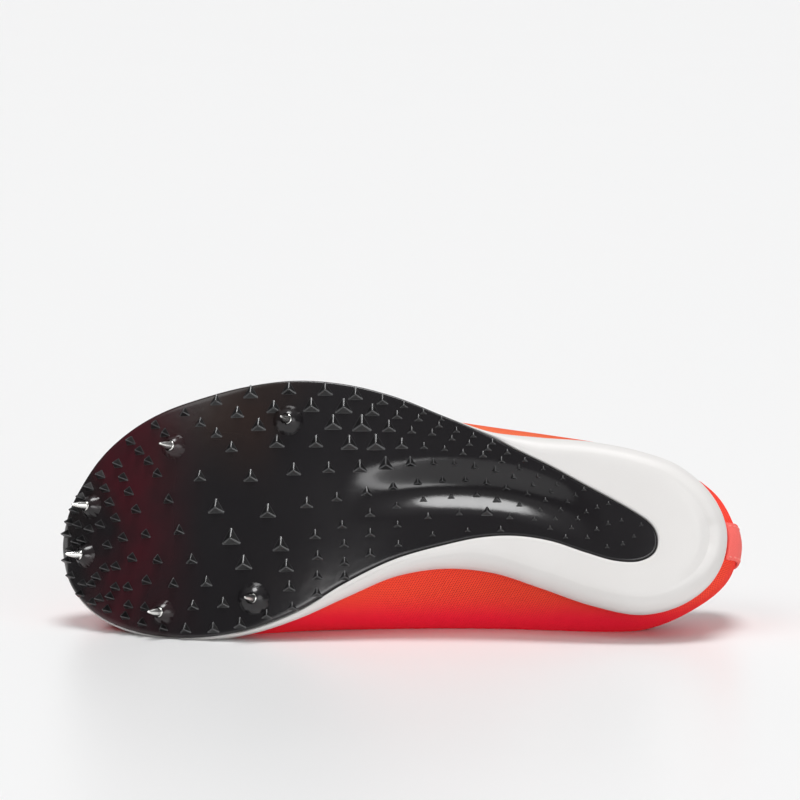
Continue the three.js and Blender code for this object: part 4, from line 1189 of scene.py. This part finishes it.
def out_of_last(stations, shares):
    """The ways out of the last at stations and shares."""
    step = 0.003
    shares = np.broadcast_to(shares, (len(stations), np.shape(shares)[-1]))
    ahead = last_at(np.minimum(stations + step, 1), shares)
    behind = last_at(np.maximum(stations - step, 0), shares)
    across = last_at(np.full(len(stations), step), 1 - shares), last_at(np.full(len(stations), step), shares)
    closing = (
        last_at(np.full(len(stations), 1 - step), 1 - shares),
        last_at(np.full(len(stations), 1 - step), shares),
    )
    start, end = (stations < step)[:, None, None], (stations > 1 - step)[:, None, None]
    along = ahead - behind
    along = np.where(start, across[1] - across[0], along)
    along = np.where(end, closing[0] - closing[1], along)
    middle = np.clip(stations, step, 1 - step)
    over = last_at(middle, np.minimum(shares + step, 1)) - last_at(middle, np.maximum(shares - step, 0))
    out = np.cross(along, over)
    return out / np.maximum(np.linalg.norm(out, axis=-1, keepdims=True), 1e-9)


collar_points = column_points(collar["at"] * sole_length, collar["up"] * last_height)
collar_curve = through(collar_points, np.linspace(0, 1, 200))


def past_collar(p):
    """How far points are over the collar's edge, in millimetres."""
    edge = np.interp(p[..., 0], collar_curve[:, 0], collar_curve[:, 1])
    return np.minimum(p[..., 2] - edge, collar_curve[-1, 0] - p[..., 0])


def ridge_across(x):
    back, front = ridge_ends
    return read_smooth(ridge, (x / sole_length - back) / (front - back), "across") * ball_width


def in_slot(p, back, front, back_width, front_width):
    """How far points are inside a slot along the ridge with a round front end, seen from above."""
    nose = front - front_width / 2
    x, y = p[..., 0], p[..., 1]
    half = mix(back_width, front_width, (np.minimum(x, nose) - back) / (front - back)) / 2
    aside = (y - ridge_across(np.minimum(x, nose))) / half
    ahead = np.maximum(x - nose, 0) / (front - nose)
    return np.minimum((1 - np.sqrt(aside**2 + ahead**2)) * half, x - back)


def in_throat(p, margin=0.0, back=throat_back - throat_overlap):
    return in_slot(
        p, back, throat_front + margin, throat_back_width + 2 * margin, throat_front_width + 2 * margin)


def opened(p):
    return np.maximum(past_collar(p), in_throat(p))


def share_where(stations, side, depth):
    """For each station, the share at which a way up from a feather line first gets into something."""
    shares = np.linspace(0, 0.5, 301)
    if side > 0:
        shares = 1 - shares
    found = depth(last_at(stations, shares))
    inside = found > 0
    k = np.maximum(np.argmax(inside, axis=1), 1)
    row = np.arange(len(stations))
    before, after = found[row, k - 1], found[row, k]
    share = shares[k - 1] + (shares[k] - shares[k - 1]) * before / (before - after)
    return np.where(inside.any(axis=1), share, 0.5)


def stations_round(depth, count):
    """Stations along the shoe, closer together where a round end of a cut begins."""
    even = np.linspace(0, 1, count)
    inside = (depth(last_at(even, np.array([0.5]))) > 0)[:, 0]
    if inside.all() or not inside.any():
        return even
    low = even[np.nonzero(inside)[0][-1]]
    high = low + even[1]
    for _ in range(30):
        middle = (low + high) / 2
        if depth(last_at(np.array([middle]), np.array([0.5])))[0, 0] > 0:
            low = middle
        else:
            high = middle
    close = low - 0.03 * np.linspace(0, 1, 16) ** 2
    far = even[np.abs(even - low) > 0.6 * even[1]]
    return np.unique(np.concatenate([far, close, [high + 0.3 * even[1]]]))


def lengths_over(stations, side):
    """Lengths in millimetres over the foot at stations: a fine row of shares and the way down from
    the ridge to each."""
    shares = np.linspace(0.5, 0, 161)
    if side > 0:
        shares = 1 - shares
    steps = np.linalg.norm(np.diff(last_at(stations, shares), axis=1), axis=-1)
    return shares, np.concatenate([np.zeros((len(stations), 1)), np.cumsum(steps, axis=1)], axis=1)


def chart_on_last(stations, shares, side):
    """Places on the cloth: the way back from the toe along the foot, and the way down from the ridge."""
    line = wide_line.at(stations, side)
    steps = np.linalg.norm(np.diff(line[::-1], axis=0), axis=-1)
    back = np.concatenate([[0], np.cumsum(steps)])[::-1]
    fine, down = lengths_over(stations, side)
    order = np.argsort(fine)
    over = np.stack([np.interp(row, fine[order], drop[order]) for row, drop in zip(shares, down)])
    return np.stack([np.broadcast_to(back[:, None], shares.shape), side * over], axis=-1)


def sheet_on_last(stations, side, first, last, steps, offset=0.0):
    """One side of a sheet on the last between two shares at each station, and its chart."""
    ways = np.linspace(0, 1, steps)[None, :]
    shares = mix(first[:, None], last[:, None], ways)
    rows = last_at(stations, shares)
    if np.any(offset):
        rows = rows + np.asarray(offset) * out_of_last(stations, shares)
    chart = chart_on_last(stations, shares, side)
    if side < 0:
        return rows[::-1], chart[::-1]
    return rows, chart


def knit_finish():
    """Tight coral knit with honeycomb rows of tiny holes, redder in the holes than on the yarn.
    Light and shade are painted in by height: a deep red painted shade near the floor, orange
    higher up, and a pale orange painted highlight near the top.
    """
    f = Finish("knit_coral")
    along, across, _ = f.parts(f.cloth_place())
    rows = math.sqrt(3)

    def hole(shift):
        """How far a point is from the nearest hole of one of the two sets, in pitches."""
        x = (along / knit_pitch + shift).fraction() - 0.5
        y = ((across / (knit_pitch * rows) + shift).fraction() - 0.5) * rows
        return (x * x + y * y) ** 0.5

    holes = 1 - hole(0.0).smaller(hole(0.5)).between(0.16, 0.4)
    fuzz = f.noise(f.place(), 900.0, 2.0)
    _, _, height = f.parts(f.place())
    # Painted light by height above the floor: deep red as painted shade low down, orange where it is lit.
    painted_light = (f.noise(f.place(), 26.0, 3.0) * 0.006 + height).between(0.007, 0.022)
    yarn_with_painted_light = f.mixed(painted_light, srgb(255, 6, 54), srgb(255, 76, 44))
    # Painted highlight: pale orange near the top of the shoe.
    yarn_with_painted_light = f.mixed(height.between(0.06, 0.085), yarn_with_painted_light, srgb(255, 140, 82))
    return f.surface(
        # The holes show more strongly where the painted light is brighter.
        Base_Color=f.mixed(holes * (painted_light * 0.6 + 0.2), yarn_with_painted_light, srgb(176, 4, 28)),
        Roughness=fuzz * 0.1 + 0.78,
        Sheen_Weight=1.0,
        Sheen_Roughness=0.5,
        Sheen_Tint=srgb(255, 50, 50),
        Normal=f.relief(fuzz * 0.3 - holes, 0.0001),
    )


lining_material = cloth_finish("lining_cloth", srgb(250, 128, 104), srgb(226, 88, 70), 0.8)
knit_material = knit_finish()

upper_stations = stations_round(in_throat, 200)
upper_skins, upper_charts = [], []
for side, feather in ((-1, 0.0), (1, 1.0)):
    edge = share_where(upper_stations, side, opened)
    rows, chart = sheet_on_last(upper_stations, side, np.full(len(edge), feather), edge, 52)
    upper_skins.append(skin(rows))
    upper_charts.append(chart)
upper = piece_of("upper_knit", upper_skins, knit_material, upper_charts, closed=False)
upper.data.materials.append(lining_material)
modified(upper, "SOLIDIFY", thickness=upper_wall / 1000, offset=-1, material_offset=1, material_offset_rim=0)
modified(upper, "BEVEL", width=0.00045, segments=2, limit_method="ANGLE", angle_limit=math.radians(50))
settled(upper)
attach(upper, "root")
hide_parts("upper")

last_rows = last_at(np.linspace(0, 1, 241), np.linspace(0, 1, 121))
last_tree = BVHTree.FromPolygons(*(part.tolist() for part in skin(last_rows)))


def met(start, way):
    """Where a straight way from a place meets the last, and the way out of it there."""
    place, out, _, _ = last_tree.ray_cast(Vector(start), Vector(way))
    out = np.array(out)
    return np.array(place), out if out @ np.array(way) < 0 else -out


def over_last(x, y):
    """The spot of the last straight below a place, and a smooth way out of it there."""
    step = 1.5
    ahead, behind, outer, inner = (
        met((x + a, y + b, 2 * last_height), (0, 0, -1))[0]
        for a, b in ((step, 0), (-step, 0), (0, step), (0, -step)))
    out = np.cross(ahead - behind, outer - inner)
    return met((x, y, 2 * last_height), (0, 0, -1))[0], out / np.linalg.norm(out)


# Tongue
# A thin pad of the same knit over foam, which lies on the instep under the throat and stands out
# above the collar. Its edges are thinner than its middle.
tongue_back = throat_back - 17
tongue_front = throat_front + 9
tongue_half_back = 22
tongue_half_front = 17
tongue_pad = 2.6
tongue_edge = 0.9
tongue_under = upper_wall + 0.7


def tongue_rows():
    rows = []
    for s in np.sin(np.linspace(-1, 1, 61) * np.pi / 2):
        x = mix(tongue_back, tongue_front, (s + 1) / 2)
        full = mix(tongue_half_back, tongue_half_front, (s + 1) / 2)
        half = full * (1 - abs(s) ** 7) ** 0.5
        ring = []
        for turn in np.linspace(0, 2 * np.pi, 64, endpoint=False):
            b = np.cos(turn)
            spot, out = over_last(x, ridge_across(x) + half * b)
            fullness = (1 - abs(b) ** 3) * (1 - abs(s) ** 10)
            thick = mix(tongue_edge, tongue_pad, fullness)
            deep = tongue_under + 0.9 * abs(b) ** 2 + thick / 2
            ring.append(spot - out * (deep - thick / 2 * np.sin(turn)))
        rows.append(ring)
    return np.array(rows)


tongue_grid = tongue_rows()
tongue = piece_of(
    "tongue_pad", [skin(tongue_grid, wrap=True)], knit_material, [chart_of(tongue_grid)])
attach(tongue, "root")
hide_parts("tongue")


# Eyestay
# A thin film pressed on to the knit round the throat, with five pairs of punched eyelets. Its edge
# is rounded where the film has melted into the yarn.
eyestay_width = 12
eyestay_thickness = 1.0
eyestay_low = 0.42 * last_height
eyelet_pairs = 5
eyelet_radius = 2.1
eyelet_margin = 6


def in_eyestay(p):
    """How far points are inside the film, which stays above the widest part of the foot."""
    return np.minimum(in_throat(p, eyestay_width, throat_back - 4), p[..., 2] - eyestay_low)


def eyelet_spots():
    """Rows of two places, inner and outer, from the toe end to the collar."""
    pairs = []
    for s in np.linspace(0, 1, eyelet_pairs):
        x = mix(throat_front - 2 * eyelet_margin, throat_back + eyelet_margin, s)
        share = (x - throat_back + throat_overlap) / (throat_front - throat_back + throat_overlap)
        half = mix(throat_back_width, throat_front_width, share) / 2 + eyelet_margin
        pairs.append([(x, ridge_across(x) + side * half) for side in (-1, 1)])
    return pairs


eyelets = eyelet_spots()
film_material = cloth_finish("film_rose", srgb(246, 88, 62), srgb(232, 66, 46), 3.0)
stay_stations = stations_round(in_eyestay, 200)
stay_stations = np.unique(np.concatenate([stay_stations, upper_stations]))
stay_skins, stay_charts = [], []
for side in (-1, 1):
    start = share_where(stay_stations, side, lambda p: np.minimum(in_eyestay(p), -past_collar(p)))
    end = share_where(stay_stations, side, opened)
    kept = side * (start - end) > 1e-4
    rows, chart = sheet_on_last(
        stay_stations[kept], side, start[kept], end[kept], 14, offset=seat_gap * 0.5 + eyestay_thickness)
    stay_skins.append(skin(rows))
    stay_charts.append(chart)
eyestay = piece_of("eyestay_film", stay_skins, film_material, stay_charts, closed=False)
modified(eyestay, "SOLIDIFY", thickness=eyestay_thickness / 1000, offset=-1)
modified(eyestay, "BEVEL", width=0.0003, segments=2, limit_method="ANGLE", angle_limit=math.radians(50))
settled(eyestay)


def eyelet_cutters():
    punches = []
    for x, y in (spot for pair in eyelets for spot in pair):
        foot, out = over_last(x, y)
        reaches = [(0.0, -6), (eyelet_radius, -6), (eyelet_radius, 6), (0.0, 6)]
        punches.append(skin(turned_rows(foot, out, reaches, 32), wrap=True))
    return piece_of("punches", punches, film_material)


punches = eyelet_cutters()
for pierced in (upper, eyestay):
    modified(pierced, "BOOLEAN", operation="DIFFERENCE", object=punches, solver="MANIFOLD")
    settled(pierced)
    pierced.data.shade_smooth()
bpy.data.objects.remove(punches)
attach(eyestay, "root")
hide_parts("eyestay")


# Laces
# One flat woven lace. It lies straight across the toe end, goes in through the first eyelets, and
# each end then crosses the tongue and comes out through the next eyelet, up to the top pair.
lace_width = 6.5
lace_hole_width = 3.6
lace_thickness = 1.1
lace_over = seat_gap + eyestay_thickness + 0.9
lace_under = -upper_wall - 0.9


def lace_route(first_side):
    """Places and heights over the last along one half of the lace, from the middle of its bar."""
    side = first_side
    (x, y), (_, opposite) = eyelets[0][side], eyelets[0][1 - side]
    middle = (y + opposite) / 2
    route = [(x, middle, 1.5), (x, mix(middle, y, 0.5), 1.7), (x, mix(middle, y, 0.85), lace_over)]
    for pair in range(eyelet_pairs - 1):
        (x, y), (next_x, next_y) = eyelets[pair][side], eyelets[pair + 1][1 - side]
        if pair == 0:
            route += [(x, y, 0.2), (mix(x, next_x, 0.06), mix(y, next_y, 0.12), lace_under)]
        else:
            route += [(x, y, 0.2), (mix(x, next_x, 0.05), mix(y, next_y, 0.07), lace_over)]
            route += [(mix(x, next_x, 0.25), mix(y, next_y, 0.27), lace_over * 0.8)]
        lift = 0.7 if first_side else -0.5
        route += [(mix(x, next_x, 0.5), mix(y, next_y, 0.5), lift)]
        route += [(mix(x, next_x, 0.8), mix(y, next_y, 0.8), lace_under)]
        route += [(mix(x, next_x, 0.95), mix(y, next_y, 0.95), lace_under)]
        side = 1 - side
    x, y = eyelets[-1][side]
    return route + [(x, y, -0.4)]


def lace_rows(first_side):
    route = lace_route(first_side)
    path = []
    for x, y, height in route:
        foot, out = over_last(x, y)
        path.append(foot + height * out)
    line = through(np.array(path), np.linspace(0, 1, 30 * len(path)))
    holes = np.array([over_last(x, y)[0] for pair in eyelets for x, y in pair])
    away = np.linalg.norm(line[:, None] - holes[None], axis=-1).min(axis=1)
    half = mix(lace_hole_width, lace_width, smooth(away, 1.2, 5.5)) / 2
    thick = mix(1.7, 1.0, smooth(away, 1.2, 5.5)) * lace_thickness / 2
    along = np.gradient(line, axis=0)
    along /= np.linalg.norm(along, axis=-1, keepdims=True)
    lengthwise = np.array([1.0, 0.0, -0.25])
    across = lengthwise - along * (along @ lengthwise)[:, None]
    across /= np.linalg.norm(across, axis=-1, keepdims=True)
    up = np.cross(along, across)
    rows = []
    for turn in np.linspace(0, 2 * np.pi, 20, endpoint=False):
        a, b = np.cos(turn), np.sin(turn)
        flat = np.sign(a) * abs(a) ** 0.45
        crown = np.sign(b) * abs(b) ** 0.6
        rows.append(line + across * (half * flat)[:, None] + up * (thick * crown)[:, None])
    rows = np.stack(rows, axis=1)
    ends = [np.repeat(rows[i].mean(axis=0)[None, None], rows.shape[1], axis=1) for i in (0, -1)]
    return np.concatenate([ends[0], rows, ends[1]])


lace_grids = [lace_rows(0), lace_rows(1)]
laces = piece_of(
    "lace_flat",
    [skin(grid, wrap=True) for grid in lace_grids],
    cloth_finish("lace_weave", srgb(246, 244, 240), srgb(214, 210, 204), 0.7),
    [chart_of(grid) for grid in lace_grids],
)
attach(laces, "root")
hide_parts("laces")


# Heel tab
# A strip of salmon webbing sewn up the back of the heel with a row of stitches near each edge.
tab_width = 15
tab_thickness = 1.2
tab_bottom = 0.27 * last_height
tab_top = collar["up"][1] * last_height - 3
stitch_inset = 1.4
stitch_length = 2.0
stitch_width = 0.7
stitch_height = 0.5
stitch_pitch = 2.6
tab_middle = wide["outer"][0] * ball_width


def behind_heel(y, z):
    return met((-50.0, y, z), (1, 0, 0))


def tab_grid(height):
    grid = []
    for z in np.linspace(tab_bottom, tab_top, 60):
        row = []
        for y in np.linspace(-tab_width / 2, tab_width / 2, 24) + tab_middle:
            place, out = behind_heel(y, z)
            row.append(place + out * height)
        grid.append(row)
    return np.array(grid)


tab_rows = tab_grid(0.7 * tab_thickness)
tab = piece_of(
    "heel_webbing",
    [skin(tab_rows)],
    cloth_finish("webbing_salmon", srgb(255, 120, 110), srgb(232, 84, 80), 1.1),
    [chart_of(tab_rows)],
    closed=False,
)
modified(tab, "SOLIDIFY", thickness=tab_thickness / 1000, offset=0)
modified(tab, "BEVEL", width=0.0003, segments=2, limit_method="ANGLE", angle_limit=math.radians(50))
settled(tab)
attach(tab, "root")
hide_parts("heel_tab")


def stitch_shape():
    """A stitch one unit long, wide and thick: a fat thread that lies along X."""
    turns = np.linspace(0, np.pi, 9)
    profile = [(0.5 * math.sin(turn), -0.5 * math.cos(turn)) for turn in turns]
    rows = turned_rows(np.zeros(3), np.array([1.0, 0.0, 0.0]), profile, 10)
    points, faces = skin(rows, wrap=True)
    made = loose_shape("stitch", points.tolist(), faces.tolist())
    made.data.shade_smooth()
    return made


stitch_rows = [
    behind_heel(tab_middle + side * (tab_width / 2 - stitch_inset), z)
    for side in (-1, 1)
    for z in np.arange(tab_bottom + stitch_pitch / 2, tab_top - stitch_pitch / 2, stitch_pitch)
]
stitch_out = np.array([out for _, out in stitch_rows])
stitches = spread(
    "heel_stitches",
    spots=np.array([place for place, _ in stitch_rows]) + stitch_out * tab_thickness * 1.2,
    out=stitch_out,
    towards=np.tile([0.0, 0.0, 1.0], (len(stitch_rows), 1)),
    sizes=np.tile([stitch_length, stitch_width, stitch_height], (len(stitch_rows), 1)),
    shape=stitch_shape(),
    material=cloth_finish("stitch_pink", srgb(250, 150, 140), srgb(236, 120, 112), 0.4),
)
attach(stitches, "root")
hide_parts("heel_tab")
